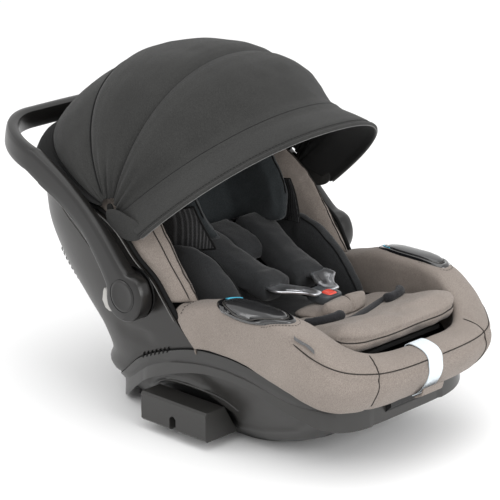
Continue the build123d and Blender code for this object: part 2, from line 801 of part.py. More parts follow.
# ---------------------------------------------------------------------------
# Carrying handle
# ---------------------------------------------------------------------------
GRIP = (HANDLE_PIVOT[0] + HANDLE_REACH * cos(radians(HANDLE_LEAN)),
        HANDLE_PIVOT[1] + HANDLE_REACH * sin(radians(HANDLE_LEAN)))
ARM_MID = (ARM_IN + ARM_OUT) / 2
ARM = [(-27, 215), (0, 240), (36, 272), (72, 299), (117, 329), (157, 351), (202, 371), (205, 338), (179, 322),
       (128, 295), (86, 268), (58, 243), (44, 222), (40, 205)]
BUTTON_ANGLE = -24.5
with BuildPart() as handle_frame:
    with BuildLine() as grip_path:
        FilletPolyline((-ARM_MID, YS + 195, 352.5), (-ARM_MID, YS + GRIP[0], GRIP[1]),
                       (ARM_MID, YS + GRIP[0], GRIP[1]), (ARM_MID, YS + 195, 352.5), radius=58)
    with BuildSketch(Plane(origin=grip_path.line @ 0, x_dir=(1, 0, 0), z_dir=grip_path.line % 0)):
        RectangleRounded(15.5, 29, 5)
    sweep()
    for s in (-1, 1):
        with BuildSketch(side(s * ARM_IN)):
            with BuildLine():
                Polyline(*ARM, close=True)
            make_face()
        extrude(amount=s * (ARM_OUT - ARM_IN))
        with BuildSketch(side(s * 194.6)):
            with Locations(HANDLE_PIVOT):
                Circle(37)
        extrude(amount=s * 22.6)
    # pin bores, cap recesses and button pockets
    for s in (-1, 1):
        with BuildSketch(side(s * 194.0)):
            with Locations(HANDLE_PIVOT):
                Circle(PIN_R)
        extrude(amount=s * 17.2, mode=Mode.SUBTRACT)
        with BuildSketch(side(s * 215.4)):
            with Locations(HANDLE_PIVOT):
                Circle(20.6)
        extrude(amount=s * 5, mode=Mode.SUBTRACT)
        with BuildSketch(side(s * 199.7)):
            with Locations(Location((HANDLE_PIVOT[0] + 42 * cos(radians(BUTTON_ANGLE)), HANDLE_PIVOT[1] + 42 * sin(radians(BUTTON_ANGLE))), BUTTON_ANGLE)):
                Rectangle(36, 26.8)
        extrude(amount=s * 13.6, mode=Mode.SUBTRACT)
handle_frame.part.label = "handle_frame"
export_step(handle_frame.part, "parts/handle_frame.step")

with BuildPart() as handle_cap_left:
    with BuildSketch(side(-215.45)):
        with Locations(HANDLE_PIVOT):
            Circle(20)
    extrude(amount=-2.0)
handle_cap_left.part.label = "handle_cap_left"
export_step(handle_cap_left.part, "parts/handle_cap_left.step")

with BuildPart() as handle_cap_right:
    add(handle_cap_left.part.mirror(Plane.YZ))
handle_cap_right.part.label = "handle_cap_right"
export_step(handle_cap_right.part, "parts/handle_cap_right.step")

with BuildPart() as handle_button_left:
    with BuildSketch(side(-200.2)):
        with Locations(Location((HANDLE_PIVOT[0] + 34 * cos(radians(BUTTON_ANGLE)), HANDLE_PIVOT[1] + 34 * sin(radians(BUTTON_ANGLE))), BUTTON_ANGLE)):
            Rectangle(12, 26)
        with Locations(HANDLE_PIVOT):
            Circle(40.8, mode=Mode.INTERSECT)
    extrude(amount=-12.6)
handle_button_left.part.label = "handle_button_left"
export_step(handle_button_left.part, "parts/handle_button_left.step")

with BuildPart() as handle_button_right:
    add(handle_button_left.part.mirror(Plane.YZ))
handle_button_right.part.label = "handle_button_right"
export_step(handle_button_right.part, "parts/handle_button_right.step")

# ---------------------------------------------------------------------------
# Canopy: fan of four fabric panels on three ribs, and a stiff visor band
# ---------------------------------------------------------------------------
def fan(angle, at=CANOPY_AXIS, lift=0.0):
    """Half plane through the canopy axis at the given angle above +Y."""
    c, s = cos(radians(angle)), sin(radians(angle))
    return Plane(origin=(0, YS + at[0] - lift * s, at[1] + lift * c), x_dir=(1, 0, 0), z_dir=(0, -s, c))


def arch(w, h, n, thick, start=21.0, count=14):
    """Closed outline of an arch: half width w, height h, squareness n."""
    t0 = (start / h) ** (n / 2.0)
    t0 = atan2(t0, sqrt(1 - t0 * t0))
    outer, inner = [], []
    for i in range(count + 1):
        t = t0 + (pi - 2 * t0) * i / count
        for row, k in ((outer, 0.0), (inner, thick)):
            row.append((-(w - k) * power(cos(t), 2 / n), max((h - k) * power(sin(t), 2 / n), start)))
    return outer + inner[::-1]


RIB_A = dict(w=188, h=230, n=2.4)
RIB_B = dict(w=188, h=199, n=2.23)
RIB_C = dict(w=181, h=201, n=2.15)
RIB_D = dict(w=181, h=240, n=2.14)
LIP = dict(w=192, h=241, n=2.27)
ANGLE_A, ANGLE_B, ANGLE_C = 18.9, 59.0, 106.0
D_AT, D_ANGLE = (56, 287), 139.5
LIP_AT, LIP_ANGLE = (5, 267), 140.0
CLOTH = 2.0

with BuildPart() as canopy_back_panel:
    for plane, w, h, n in ((fan(2.5), 187, 222, 2.6), (fan(18.4), 188, 230, 2.4)):
        with BuildSketch(plane):
            with BuildLine():
                Polyline(*arch(w, h, n, CLOTH), close=True)
            make_face()
    loft(ruled=True)
canopy_back_panel.part.label = "canopy_back_panel"
export_step(canopy_back_panel.part, "parts/canopy_back_panel.step")

with BuildPart() as canopy_panel_1:
    for plane, d in ((fan(19.4), RIB_A), (fan(58.4), RIB_B)):
        with BuildSketch(plane):
            with BuildLine():
                Polyline(*arch(thick=CLOTH, **d), close=True)
            make_face()
    loft(ruled=True)
canopy_panel_1.part.label = "canopy_panel_1"
export_step(canopy_panel_1.part, "parts/canopy_panel_1.step")

with BuildPart() as canopy_panel_2:
    for plane, d in ((fan(59.6), RIB_B), (fan(105.4), RIB_C)):
        with BuildSketch(plane):
            with BuildLine():
                Polyline(*arch(thick=CLOTH, **d), close=True)
            make_face()
    loft(ruled=True)
canopy_panel_2.part.label = "canopy_panel_2"
export_step(canopy_panel_2.part, "parts/canopy_panel_2.step")

with BuildPart() as canopy_panel_3:
    for plane, d in ((fan(106.6), RIB_C), (fan(D_ANGLE, D_AT, -0.8), RIB_D)):
        with BuildSketch(plane):
            with BuildLine():
                Polyline(*arch(thick=CLOTH, **d), close=True)
            make_face()
    loft(ruled=True)
canopy_panel_3.part.label = "canopy_panel_3"
export_step(canopy_panel_3.part, "parts/canopy_panel_3.step")

with BuildPart() as canopy_visor:
    for plane, d in ((fan(D_ANGLE, D_AT, 0.8), RIB_D), (fan(LIP_ANGLE, LIP_AT), LIP)):
        with BuildSketch(plane):
            with BuildLine():
                Polyline(*arch(thick=3.0, **d), close=True)
            make_face()
    loft(ruled=True)
    for s in (-1, 1):
        with BuildSketch(side(s * 184.8)):
            with BuildLine():
                Polyline((50, 304), (62, 296), (50, 282), (30, 276), (12, 284), (28, 300), close=True)
            make_face()
            with Locations(CANOPY_AXIS):
                Circle(10)
            with Locations(CANOPY_AXIS):
                Circle(5.05, mode=Mode.SUBTRACT)
        extrude(amount=s * 3.0)
canopy_visor.part.label = "canopy_visor"
export_step(canopy_visor.part, "parts/canopy_visor.step")


def rib_band(d, start=14.0):
    """Rib outline, drawn in from the cloth."""
    return arch(d["w"] - 3.2, d["h"] - 3.2, d["n"], 5.0, start=start)


with BuildPart() as canopy_rib_a:
    with BuildSketch(fan(ANGLE_A, lift=-3)):
        with BuildLine():
            Polyline(*rib_band(RIB_A, start=32.0), close=True)
        make_face()
    extrude(amount=6)
canopy_rib_a.part.label = "canopy_rib_a"
export_step(canopy_rib_a.part, "parts/canopy_rib_a.step")

with BuildPart() as canopy_rib_b:
    with BuildSketch(fan(ANGLE_B, lift=-3)):
        with BuildLine():
            Polyline(*rib_band(RIB_B), close=True)
        make_face()
        with Locations((-181.5, 13), (181.5, 13)):
            Rectangle(3.0, 16)
    extrude(amount=6)
    for s in (-1, 1):
        with BuildSketch(side(s * 180)):
            with Locations(CANOPY_AXIS):
                Circle(10)
                Circle(5.05, mode=Mode.SUBTRACT)
        extrude(amount=s * 3.0)
canopy_rib_b.part.label = "canopy_rib_b"
export_step(canopy_rib_b.part, "parts/canopy_rib_b.step")

with BuildPart() as canopy_rib_c:
    with BuildSketch(fan(ANGLE_C, lift=-3)):
        with BuildLine():
            Polyline(*rib_band(RIB_C), close=True)
        make_face()
        with Locations((-174.5, 13), (174.5, 13)):
            Rectangle(3.0, 16)
    extrude(amount=6)
    for s in (-1, 1):
        with BuildSketch(side(s * 173)):
            with Locations(CANOPY_AXIS):
                Circle(10)
                Circle(5.05, mode=Mode.SUBTRACT)
        extrude(amount=s * 3.0)
canopy_rib_c.part.label = "canopy_rib_c"
export_step(canopy_rib_c.part, "parts/canopy_rib_c.step")

with BuildPart() as canopy_pivots:
    for s in (-1, 1):
        with BuildSketch(side(s * 171.5)):
            with Locations(CANOPY_AXIS):
                Circle(5.0)
        extrude(amount=s * 18.5)
        with BuildSketch(side(s * 188.2)):
            with Locations(CANOPY_AXIS):
                Circle(11.5)
        extrude(amount=s * 1.8)
canopy_pivots.part.label = "canopy_pivots"
export_step(canopy_pivots.part, "parts/canopy_pivots.step")
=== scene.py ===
import math

import bmesh
import bpy
import numpy as np
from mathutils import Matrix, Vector, noise


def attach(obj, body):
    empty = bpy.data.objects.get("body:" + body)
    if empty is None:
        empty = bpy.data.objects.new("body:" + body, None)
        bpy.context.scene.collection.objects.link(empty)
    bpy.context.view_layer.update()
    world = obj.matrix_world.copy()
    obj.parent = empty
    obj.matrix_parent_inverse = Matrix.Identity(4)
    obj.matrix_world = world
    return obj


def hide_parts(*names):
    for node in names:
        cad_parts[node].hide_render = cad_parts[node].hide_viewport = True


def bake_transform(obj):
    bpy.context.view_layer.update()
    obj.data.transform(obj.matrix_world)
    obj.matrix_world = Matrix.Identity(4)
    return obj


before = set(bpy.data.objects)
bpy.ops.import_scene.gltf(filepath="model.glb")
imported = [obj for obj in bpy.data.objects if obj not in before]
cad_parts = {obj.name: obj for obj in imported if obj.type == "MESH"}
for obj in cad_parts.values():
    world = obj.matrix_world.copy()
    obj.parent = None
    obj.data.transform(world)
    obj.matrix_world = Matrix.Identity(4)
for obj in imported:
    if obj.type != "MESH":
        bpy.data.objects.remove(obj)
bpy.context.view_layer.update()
YS = 26.83          # side-view numbers are written about the handle hinge's station
PI = math.pi

# ---------------------------------------------------------------------------
# Camera
# ---------------------------------------------------------------------------
cam_data = bpy.data.cameras.new("camera")
cam = bpy.data.objects.new("camera", cam_data)
bpy.context.scene.collection.objects.link(cam)
bpy.context.scene.camera = cam
cam_data.sensor_width = 36.0
cam_data.lens = 151.2
cam.location = (-2.03165, -1.95446 + YS / 1000, 1.11386)
aim = Vector((0.0, -0.0265 + YS / 1000, 0.220))
cam.rotation_mode = "QUATERNION"
cam.rotation_quaternion = (aim - cam.location).to_track_quat("-Z", "Y")
cam_data.clip_start, cam_data.clip_end = 0.05, 100.0


# ---------------------------------------------------------------------------
# Materials
# ---------------------------------------------------------------------------
def new_mat(name):
    m = bpy.data.materials.new(name)
    m.use_nodes = True
    nt = m.node_tree
    bsdf = nt.nodes["Principled BSDF"]
    tc = nt.nodes.new("ShaderNodeTexCoord")
    return m, nt, bsdf, tc


def ramp(nt, fac, stops):
    r = nt.nodes.new("ShaderNodeValToRGB")
    r.color_ramp.elements[0].position, r.color_ramp.elements[0].color = stops[0][0], (*stops[0][1], 1)
    r.color_ramp.elements[1].position, r.color_ramp.elements[1].color = stops[-1][0], (*stops[-1][1], 1)
    for p, c in stops[1:-1]:
        e = r.color_ramp.elements.new(p)
        e.color = (*c, 1)
    nt.links.new(fac, r.inputs["Fac"])
    return r


def noise_tex(nt, tc, scale, detail=3.0, rough=0.6, stretch=None):
    n = nt.nodes.new("ShaderNodeTexNoise")
    n.inputs["Scale"].default_value = scale
    n.inputs["Detail"].default_value = detail
    n.inputs["Roughness"].default_value = rough
    src = tc.outputs["Object"]
    if stretch:
        mp = nt.nodes.new("ShaderNodeMapping")
        mp.inputs["Scale"].default_value = stretch
        nt.links.new(src, mp.inputs["Vector"])
        src = mp.outputs["Vector"]
    nt.links.new(src, n.inputs["Vector"])
    return n


def wave_tex(nt, tc, scale, turn=(0, 0, 0), distort=0.6):
    w = nt.nodes.new("ShaderNodeTexWave")
    w.inputs["Scale"].default_value = scale
    w.inputs["Distortion"].default_value = distort
    w.inputs["Detail"].default_value = 1.0
    w.inputs["Detail Scale"].default_value = 3.0
    mp = nt.nodes.new("ShaderNodeMapping")
    mp.inputs["Rotation"].default_value = [math.radians(a) for a in turn]
    nt.links.new(tc.outputs["Object"], mp.inputs["Vector"])
    nt.links.new(mp.outputs["Vector"], w.inputs["Vector"])
    return w


def math_node(nt, op, a, b):
    m = nt.nodes.new("ShaderNodeMath")
    m.operation = op
    for i, v in enumerate((a, b)):
        if isinstance(v, (int, float)):
            m.inputs[i].default_value = v
        else:
            nt.links.new(v, m.inputs[i])
    return m.outputs[0]


def bump(nt, bsdf, height, strength, distance, chain=None):
    b = nt.nodes.new("ShaderNodeBump")
    b.inputs["Strength"].default_value = strength
    b.inputs["Distance"].default_value = distance
    nt.links.new(height, b.inputs["Height"])
    if chain is not None:
        nt.links.new(chain, b.inputs["Normal"])
    nt.links.new(b.outputs["Normal"], bsdf.inputs["Normal"])
    return b.outputs["Normal"]


def fabric(name, dark, mid, light, weave=420.0, fine=1500.0, weave_bump=0.35, sheen=0.25, rough=0.92, flecks=0.5):
    """Woven melange cloth: two crossed yarn directions, flecked yarns and soft fuzz."""
    m, nt, bsdf, tc = new_mat(name)
    fleck = noise_tex(nt, tc, fine, 2.0, 0.7)
    yarn = noise_tex(nt, tc, fine * 0.35, 2.0, 0.6, stretch=(1.0, 3.2, 1.0))
    cloud = noise_tex(nt, tc, 9.0, 3.0, 0.5)
    mix = math_node(nt, "ADD", math_node(nt, "MULTIPLY", fleck.outputs["Fac"], flecks),
                    math_node(nt, "MULTIPLY", yarn.outputs["Fac"], 1.0 - flecks))
    mix = math_node(nt, "ADD", mix, math_node(nt, "MULTIPLY", cloud.outputs["Fac"], 0.22))
    r = ramp(nt, mix, [(0.42, dark), (0.61, mid), (0.80, light)])
    nt.links.new(r.outputs["Color"], bsdf.inputs["Base Color"])
    bsdf.inputs["Roughness"].default_value = rough
    bsdf.inputs["Sheen Weight"].default_value = sheen
    bsdf.inputs["Sheen Roughness"].default_value = 0.45
    bsdf.inputs["Specular IOR Level"].default_value = 0.25
    a = wave_tex(nt, tc, weave, (0, 0, 45), 0.8)
    b = wave_tex(nt, tc, weave, (45, 0, -45), 0.8)
    h = math_node(nt, "MULTIPLY", a.outputs["Fac"], b.outputs["Fac"])
    h = math_node(nt, "ADD", h, math_node(nt, "MULTIPLY", fleck.outputs["Fac"], 0.8))
    first = bump(nt, bsdf, h, weave_bump, 0.0006)
    soft = noise_tex(nt, tc, 22.0, 3.0, 0.55)
    bump(nt, bsdf, soft.outputs["Fac"], 0.10, 0.006, first)
    return m


def plastic(name, color, rough=0.45, grain=0.12, spec=0.5, coat=0.0, scale=1400.0, vary=0.12):
    """Moulded plastic with a fine spark-eroded grain, faint flow clouds and rubbed patches."""
    m, nt, bsdf, tc = new_mat(name)
    cloud = noise_tex(nt, tc, 7.0, 4.0, 0.55)
    lo = [max(0.0, c * (1 - vary)) for c in color]
    hi = [min(1.0, c * (1 + vary)) for c in color]
    r = ramp(nt, cloud.outputs["Fac"], [(0.3, lo), (0.5, color), (0.72, hi)])
    nt.links.new(r.outputs["Color"], bsdf.inputs["Base Color"])
    rub = noise_tex(nt, tc, 26.0, 5.0, 0.6)
    rr = math_node(nt, "ADD", math_node(nt, "MULTIPLY", rub.outputs["Fac"], 0.10), rough - 0.05)
    nt.links.new(rr, bsdf.inputs["Roughness"])
    bsdf.inputs["Specular IOR Level"].default_value = spec
    bsdf.inputs["Coat Weight"].default_value = coat
    bsdf.inputs["Coat Roughness"].default_value = 0.06
    g = noise_tex(nt, tc, scale, 2.0, 0.5)
    bump(nt, bsdf, g.outputs["Fac"], grain, 0.0003)
    return m


def metal(name, color, rough=0.3):
    m, nt, bsdf, tc = new_mat(name)
    n = noise_tex(nt, tc, 240.0, 4.0, 0.6, stretch=(1.0, 14.0, 1.0))
    r = ramp(nt, n.outputs["Fac"], [(0.3, [c * 0.85 for c in color]), (0.5, color), (0.7, [min(1, c * 1.1) for c in color])])
    nt.links.new(r.outputs["Color"], bsdf.inputs["Base Color"])
    bsdf.inputs["Metallic"].default_value = 1.0
    rr = math_node(nt, "ADD", math_node(nt, "MULTIPLY", n.outputs["Fac"], 0.15), rough - 0.07)
    nt.links.new(rr, bsdf.inputs["Roughness"])
    bump(nt, bsdf, n.outputs["Fac"], 0.08, 0.0003)
    return m


def mesh_cloth(name):
    """Spacer mesh: diagonal ribs with open cells between them."""
    m, nt, bsdf, tc = new_mat(name)
    rib_a = wave_tex(nt, tc, 150.0, (42, 0, 0), 0.0)
    rib_b = wave_tex(nt, tc, 150.0, (-28, 0, 90), 0.0)
    cell = nt.nodes.new("ShaderNodeTexVoronoi")
    cell.inputs["Scale"].default_value = 420.0
    nt.links.new(tc.outputs["Object"], cell.inputs["Vector"])
    lattice = math_node(nt, "MAXIMUM", rib_a.outputs["Fac"], math_node(nt, "MULTIPLY", rib_b.outputs["Fac"], 0.6))
    h = math_node(nt, "ADD", math_node(nt, "MULTIPLY", lattice, 0.8),
                  math_node(nt, "MULTIPLY", cell.outputs["Distance"], 0.35))
    r = ramp(nt, h, [(0.25, (0.004, 0.004, 0.004)), (0.6, (0.014, 0.014, 0.015)), (0.95, (0.06, 0.06, 0.062))])
    nt.links.new(r.outputs["Color"], bsdf.inputs["Base Color"])
    bsdf.inputs["Roughness"].default_value = 0.75
    bsdf.inputs["Sheen Weight"].default_value = 0.1
    bump(nt, bsdf, h, 0.8, 0.0012)
    return m


M = {
    "charcoal": fabric("charcoal_weave", (0.015, 0.015, 0.0145), (0.029, 0.029, 0.028), (0.050, 0.050, 0.048), sheen=0.07),
    "visor": fabric("visor_weave", (0.016, 0.016, 0.0155), (0.031, 0.031, 0.030), (0.053, 0.053, 0.051), sheen=0.08),
    "rear": fabric("rear_weave", (0.004, 0.004, 0.004), (0.009, 0.009, 0.009), (0.018, 0.018, 0.018), sheen=0.04),
    "lining": fabric("lining_weave", (0.004, 0.004, 0.004), (0.010, 0.010, 0.010), (0.022, 0.022, 0.022), sheen=0.08),
    "piping": fabric("piping_cord", (0.002, 0.002, 0.002), (0.005, 0.005, 0.005), (0.012, 0.012, 0.012), sheen=0.02),
    "edge": fabric("edge_tape", (0.10, 0.10, 0.10), (0.16, 0.16, 0.158), (0.25, 0.25, 0.245), sheen=0.1),
    "taupe": fabric("taupe_melange", (0.145, 0.120, 0.104), (0.235, 0.202, 0.178), (0.340, 0.298, 0.266), sheen=0.12, flecks=0.6),
    "slate": fabric("slate_knit", (0.013, 0.016, 0.018), (0.025, 0.029, 0.031), (0.045, 0.051, 0.054), weave=300.0, sheen=0.2),
    "ink": fabric("ink_knit", (0.012, 0.0125, 0.013), (0.024, 0.025, 0.0265), (0.045, 0.047, 0.049), weave=260.0, sheen=0.22),
    "roll": fabric("roll_cloth", (0.006, 0.006, 0.008), (0.014, 0.014, 0.016), (0.03, 0.03, 0.033), sheen=0.15),
    "thread": fabric("dark_thread", (0.012, 0.010, 0.009), (0.03, 0.026, 0.023), (0.06, 0.052, 0.046), sheen=0.0),
    "thread_soft": fabric("grey_thread", (0.05, 0.05, 0.05), (0.10, 0.10, 0.10), (0.16, 0.16, 0.16), sheen=0.0),
    "webbing": fabric("webbing", (0.008, 0.008, 0.009), (0.018, 0.018, 0.020), (0.035, 0.035, 0.038), weave=700.0, sheen=0.1),
    "band": fabric("pale_band", (0.60, 0.67, 0.72), (0.72, 0.79, 0.84), (0.82, 0.88, 0.92), sheen=0.1, weave=600.0),
    "tag": fabric("grey_tag", (0.07, 0.07, 0.072), (0.11, 0.11, 0.112), (0.17, 0.17, 0.17), sheen=0.1, weave=700.0),
    "mesh": mesh_cloth("spacer_mesh"),
    "handle": plastic("handle_satin", (0.0115, 0.0108, 0.0103), rough=0.30, grain=0.08, spec=0.42),
    "shell": plastic("shell_satin", (0.0150, 0.0135, 0.0122), rough=0.34, grain=0.12, spec=0.42),
    "base": plastic("base_satin", (0.027, 0.026, 0.0245), rough=0.32, grain=0.10),
    "base_band": plastic("base_band_satin", (0.026, 0.025, 0.0238), rough=0.30, grain=0.08, spec=0.45),
    # near-black plastic: the real dark mouldings, and also painted shade in the base recess and on every other rear rib
    "dark": plastic("dark_moulding_and_painted_shade", (0.007, 0.007, 0.007), rough=0.5, grain=0.2),
    # near-black plastic for gaps, vent slots and grooves: painted shadow where shade falls between and inside parts
    "gap": plastic("painted_shadow_gap", (0.004, 0.004, 0.004), rough=0.8, grain=0.2, spec=0.2),
    # light plastic for thin edge lines: painted highlight along lit edges
    "rimlight": plastic("edge_trim", (0.10, 0.097, 0.093), rough=0.28, grain=0.05),
    # lighter plastic for contour edges, rib tops and the guide lid ring: painted highlight on lit edges
    "contour": plastic("contour_edge", (0.055, 0.052, 0.048), rough=0.35, grain=0.05),
    "gloss": plastic("gloss_black", (0.008, 0.008, 0.009), rough=0.10, grain=0.015, coat=1.0, vary=0.05),
    "smoke": plastic("smoked_lid", (0.022, 0.022, 0.023), rough=0.22, grain=0.03, coat=0.6, vary=0.08),
    "cyan": plastic("guide_blue", (0.05, 0.42, 0.60), rough=0.35, grain=0.05),
    "button": plastic("button_grey", (0.42, 0.41, 0.39), rough=0.38, grain=0.10),
    "buckle": plastic("buckle_grey", (0.060, 0.066, 0.072), rough=0.35, grain=0.15),
    "red": plastic("release_red", (0.78, 0.075, 0.045), rough=0.30, grain=0.08),
    "steel": metal("zinc_steel", (0.62, 0.62, 0.63), 0.32),
    "tongue": metal("tongue_steel", (0.80, 0.81, 0.84), 0.34),
    "foam": fabric("cut_foam", (0.45, 0.45, 0.44), (0.55, 0.55, 0.54), (0.62, 0.62, 0.61), sheen=0.0),
}


# ---------------------------------------------------------------------------
# Mesh helpers: points are in millimetres about the handle hinge's station
# ---------------------------------------------------------------------------
def make(name, verts, faces, mat, body=None, replaces=(), sharp=40.0, mats=None, face_mats=None):
    me = bpy.data.meshes.new(name)
    v = np.asarray(verts, float).reshape(-1, 3).copy()
    v[:, 1] += YS
    v /= 1000.0
    me.from_pydata([tuple(p) for p in v], [], [tuple(f) for f in faces])
    me.validate()
    for mm in (mats or [mat]):
        me.materials.append(M[mm])
    if face_mats is not None:
        for p, k in zip(me.polygons, face_mats):
            p.material_index = k
    o = bpy.data.objects.new(name, me)
    bpy.context.scene.collection.objects.link(o)
    bm = bmesh.new()
    bm.from_mesh(me)
    bmesh.ops.remove_doubles(bm, verts=bm.verts, dist=1e-6)
    bmesh.ops.recalc_face_normals(bm, faces=bm.faces)
    bm.to_mesh(me)
    bm.free()
    shade(o, sharp)
    if body:
        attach(o, body)
    if replaces:
        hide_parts(*replaces)
    return o


def shade(o, sharp=40.0):
    o.data.polygons.foreach_set("use_smooth", [True] * len(o.data.polygons))
    if sharp < 180:
        o.data.set_sharp_from_angle(angle=math.radians(sharp))
    o.data.update()


def apply_mods(o):
    dg = bpy.context.evaluated_depsgraph_get()
    me = bpy.data.meshes.new_from_object(o.evaluated_get(dg))
    o.modifiers.clear()
    o.data = me


def mirror_points(pts):
    return [(-x, y, z) for x, y, z in pts]


def grid_faces(nr, nc, close_r=False, close_c=False, base=0):
    f = []
    for i in range(nr if close_r else nr - 1):
        for j in range(nc if close_c else nc - 1):
            a, b = base + i * nc + j, base + i * nc + (j + 1) % nc
            i2 = (i + 1) % nr
            c, d = base + i2 * nc + (j + 1) % nc, base + i2 * nc + j
            f.append((a, b, c, d))
    return f


def grid(rows, close_r=False, close_c=False, cap0=False, cap1=False):
    nr, nc = len(rows), len(rows[0])
    verts = [tuple(p) for row in rows for p in row]
    faces = grid_faces(nr, nc, close_r, close_c)
    for cap, i in ((cap0, 0), (cap1, nr - 1)):
        if cap:
            c = np.mean([rows[i][j] for j in range(nc)], axis=0)
            verts.append(tuple(c))
            k = len(verts) - 1
            for j in range(nc):
                faces.append((i * nc + j, i * nc + (j + 1) % nc, k))
    return verts, faces


def crom(points, n, closed=False):
    """n points, evenly along a smooth curve through the given ones."""
    p = np.asarray(points, float)
    if closed:
        p = np.vstack([p[-1], p, p[0], p[1]])
    else:
        p = np.vstack([2 * p[0] - p[1], p, 2 * p[-1] - p[-2]])
    out = []
    for i in range(1, len(p) - 2):
        p0, p1, p2, p3 = p[i - 1], p[i], p[i + 1], p[i + 2]
        d = [max(np.linalg.norm(b - a), 1e-9) ** 0.5 for a, b in ((p0, p1), (p1, p2), (p2, p3))]
        t0, t1, t2, t3 = 0.0, d[0], d[0] + d[1], d[0] + d[1] + d[2]
        for t in np.linspace(t1, t2, 17)[:-1]:
            a1 = (t1 - t) / (t1 - t0) * p0 + (t - t0) / (t1 - t0) * p1
            a2 = (t2 - t) / (t2 - t1) * p1 + (t - t1) / (t2 - t1) * p2
            a3 = (t3 - t) / (t3 - t2) * p2 + (t - t2) / (t3 - t2) * p3
            b1 = (t2 - t) / (t2 - t0) * a1 + (t - t0) / (t2 - t0) * a2
            b2 = (t3 - t) / (t3 - t1) * a2 + (t - t1) / (t3 - t1) * a3
            out.append((t2 - t) / (t2 - t1) * b1 + (t - t1) / (t2 - t1) * b2)
    out.append(p[-2])
    out = np.array(out)
    return resample(out, n, closed)


def resample(line, n, closed=False):
    line = np.asarray(line, float)
    d = np.concatenate([[0], np.cumsum(np.linalg.norm(np.diff(line, axis=0), axis=1))])
    s = np.linspace(0, d[-1], n + 1 if closed else n)
    out = np.stack([np.interp(s, d, line[:, k]) for k in range(line.shape[1])], axis=1)
    return out[:-1] if closed else out


def hermite(xs, ys):
    """Monotone smooth curve through the given values."""
    xs, ys = np.asarray(xs, float), np.asarray(ys, float)
    h, s = np.diff(xs), np.diff(ys) / np.diff(xs)
    m = np.zeros(len(xs))
    m[0], m[-1] = s[0], s[-1]
    for i in range(1, len(xs) - 1):
        if s[i - 1] * s[i] > 0:
            w1, w2 = 2 * h[i] + h[i - 1], h[i] + 2 * h[i - 1]
            m[i] = (w1 + w2) / (w1 / s[i - 1] + w2 / s[i])

    grid_x = np.linspace(xs[0], xs[-1], 4001)
    i = np.clip(np.searchsorted(xs, grid_x) - 1, 0, len(xs) - 2)
    t = (grid_x - xs[i]) / h[i]
    table = ((2 * t**3 - 3 * t**2 + 1) * ys[i] + (t**3 - 2 * t**2 + t) * h[i] * m[i]
             + (-2 * t**3 + 3 * t**2) * ys[i + 1] + (t**3 - t**2) * h[i] * m[i + 1]).tolist()
    x0, step = float(xs[0]), 4000.0 / float(xs[-1] - xs[0])

    def f(x):
        q = (x - x0) * step
        if q <= 0:
            return table[0]
        if q >= 4000:
            return table[-1]
        k = int(q)
        return table[k] + (q - k) * (table[k + 1] - table[k])
    return f


def tube(name, pts, r, mat, body=None, sides=8, closed=False, flat=None, caps=True, replaces=()):
    """A cord or bead along a line of points; flat=(r2) gives it an oval section."""
    v, f = tube_geo(pts, r, sides, closed, flat, caps)
    return make(name, v, f, mat, body, replaces, sharp=60)


def tube_geo(pts, r, sides=8, closed=False, flat=None, caps=True):
    p = np.asarray(pts, float)
    n = len(p)
    t = np.gradient(p, axis=0)
    if closed:
        t = np.roll(p, -1, 0) - np.roll(p, 1, 0)
    t /= np.maximum(np.linalg.norm(t, axis=1)[:, None], 1e-9)
    up = np.array([0.0, 0.0, 1.0]) if abs(t[0][2]) < 0.9 else np.array([1.0, 0, 0])
    rows = []
    u = np.cross(t[0], up)
    u /= np.linalg.norm(u)
    for i in range(n):
        u = u - t[i] * (u @ t[i])
        u /= max(np.linalg.norm(u), 1e-9)
        w = np.cross(t[i], u)
        k = 1.0
        if not closed and caps:
            e = min(i, n - 1 - i)
            k = (0.15, 0.8)[e] if e < 2 and n > 5 else 1.0
        rr = r[i] if hasattr(r, "__len__") else r
        rf = (flat if flat is not None else rr)
        rows.append([p[i] + k * (rr * math.cos(a) * u + rf * math.sin(a) * w) for a in np.linspace(0, 2 * PI, sides, endpoint=False)])
    return grid(rows, close_r=closed, close_c=True, cap0=not closed, cap1=not closed)


def stitches(name, pts, mat, body, length=3.4, gap=1.8, r=0.42):
    """A row of separate stitches laid along a line."""
    line = np.asarray(pts, float)
    d = np.concatenate([[0], np.cumsum(np.linalg.norm(np.diff(line, axis=0), axis=1))])
    V, F, s = [], [], 0.0
    while s + length < d[-1]:
        seg = np.stack([np.interp(np.linspace(s, s + length, 4), d, line[:, k]) for k in range(3)], axis=1)
        v, f = tube_geo(seg, [r * 0.5, r, r, r * 0.5], sides=5, caps=False)
        b = len(V)
        V += v
        F += [tuple(i + b for i in q) for q in f]
        s += length + gap
    return make(name, V, F, mat, body, sharp=180)


def prism(name, pts, x0, x1, mat, body, bevel=1.5, seg=3, replaces=(), n=None, sharp=35):
    """Side-view outline carried across from x0 to x1, with rounded edges."""
    p = [tuple(q) for q in (crom(pts, n, closed=True) if n else pts)]
    k = len(p)
    v = [(x0, y, z) for y, z in p] + [(x1, y, z) for y, z in p]
    f = [tuple(range(k))[::-1], tuple(range(k, 2 * k))] + [(i, (i + 1) % k, (i + 1) % k + k, i + k) for i in range(k)]
    o = make(name, v, f, mat, None, replaces, sharp=180)
    b = o.modifiers.new("bevel", "BEVEL")
    b.width, b.segments, b.limit_method, b.angle_limit = bevel / 1000, seg, "ANGLE", math.radians(40)
    apply_mods(o)
    shade(o, sharp)
    if body:
        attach(o, body)
    return o


def subdivide(o, levels=1):
    s = o.modifiers.new("subdivision", "SUBSURF")
    s.levels = s.render_levels = levels
    apply_mods(o)
    shade(o, 180)


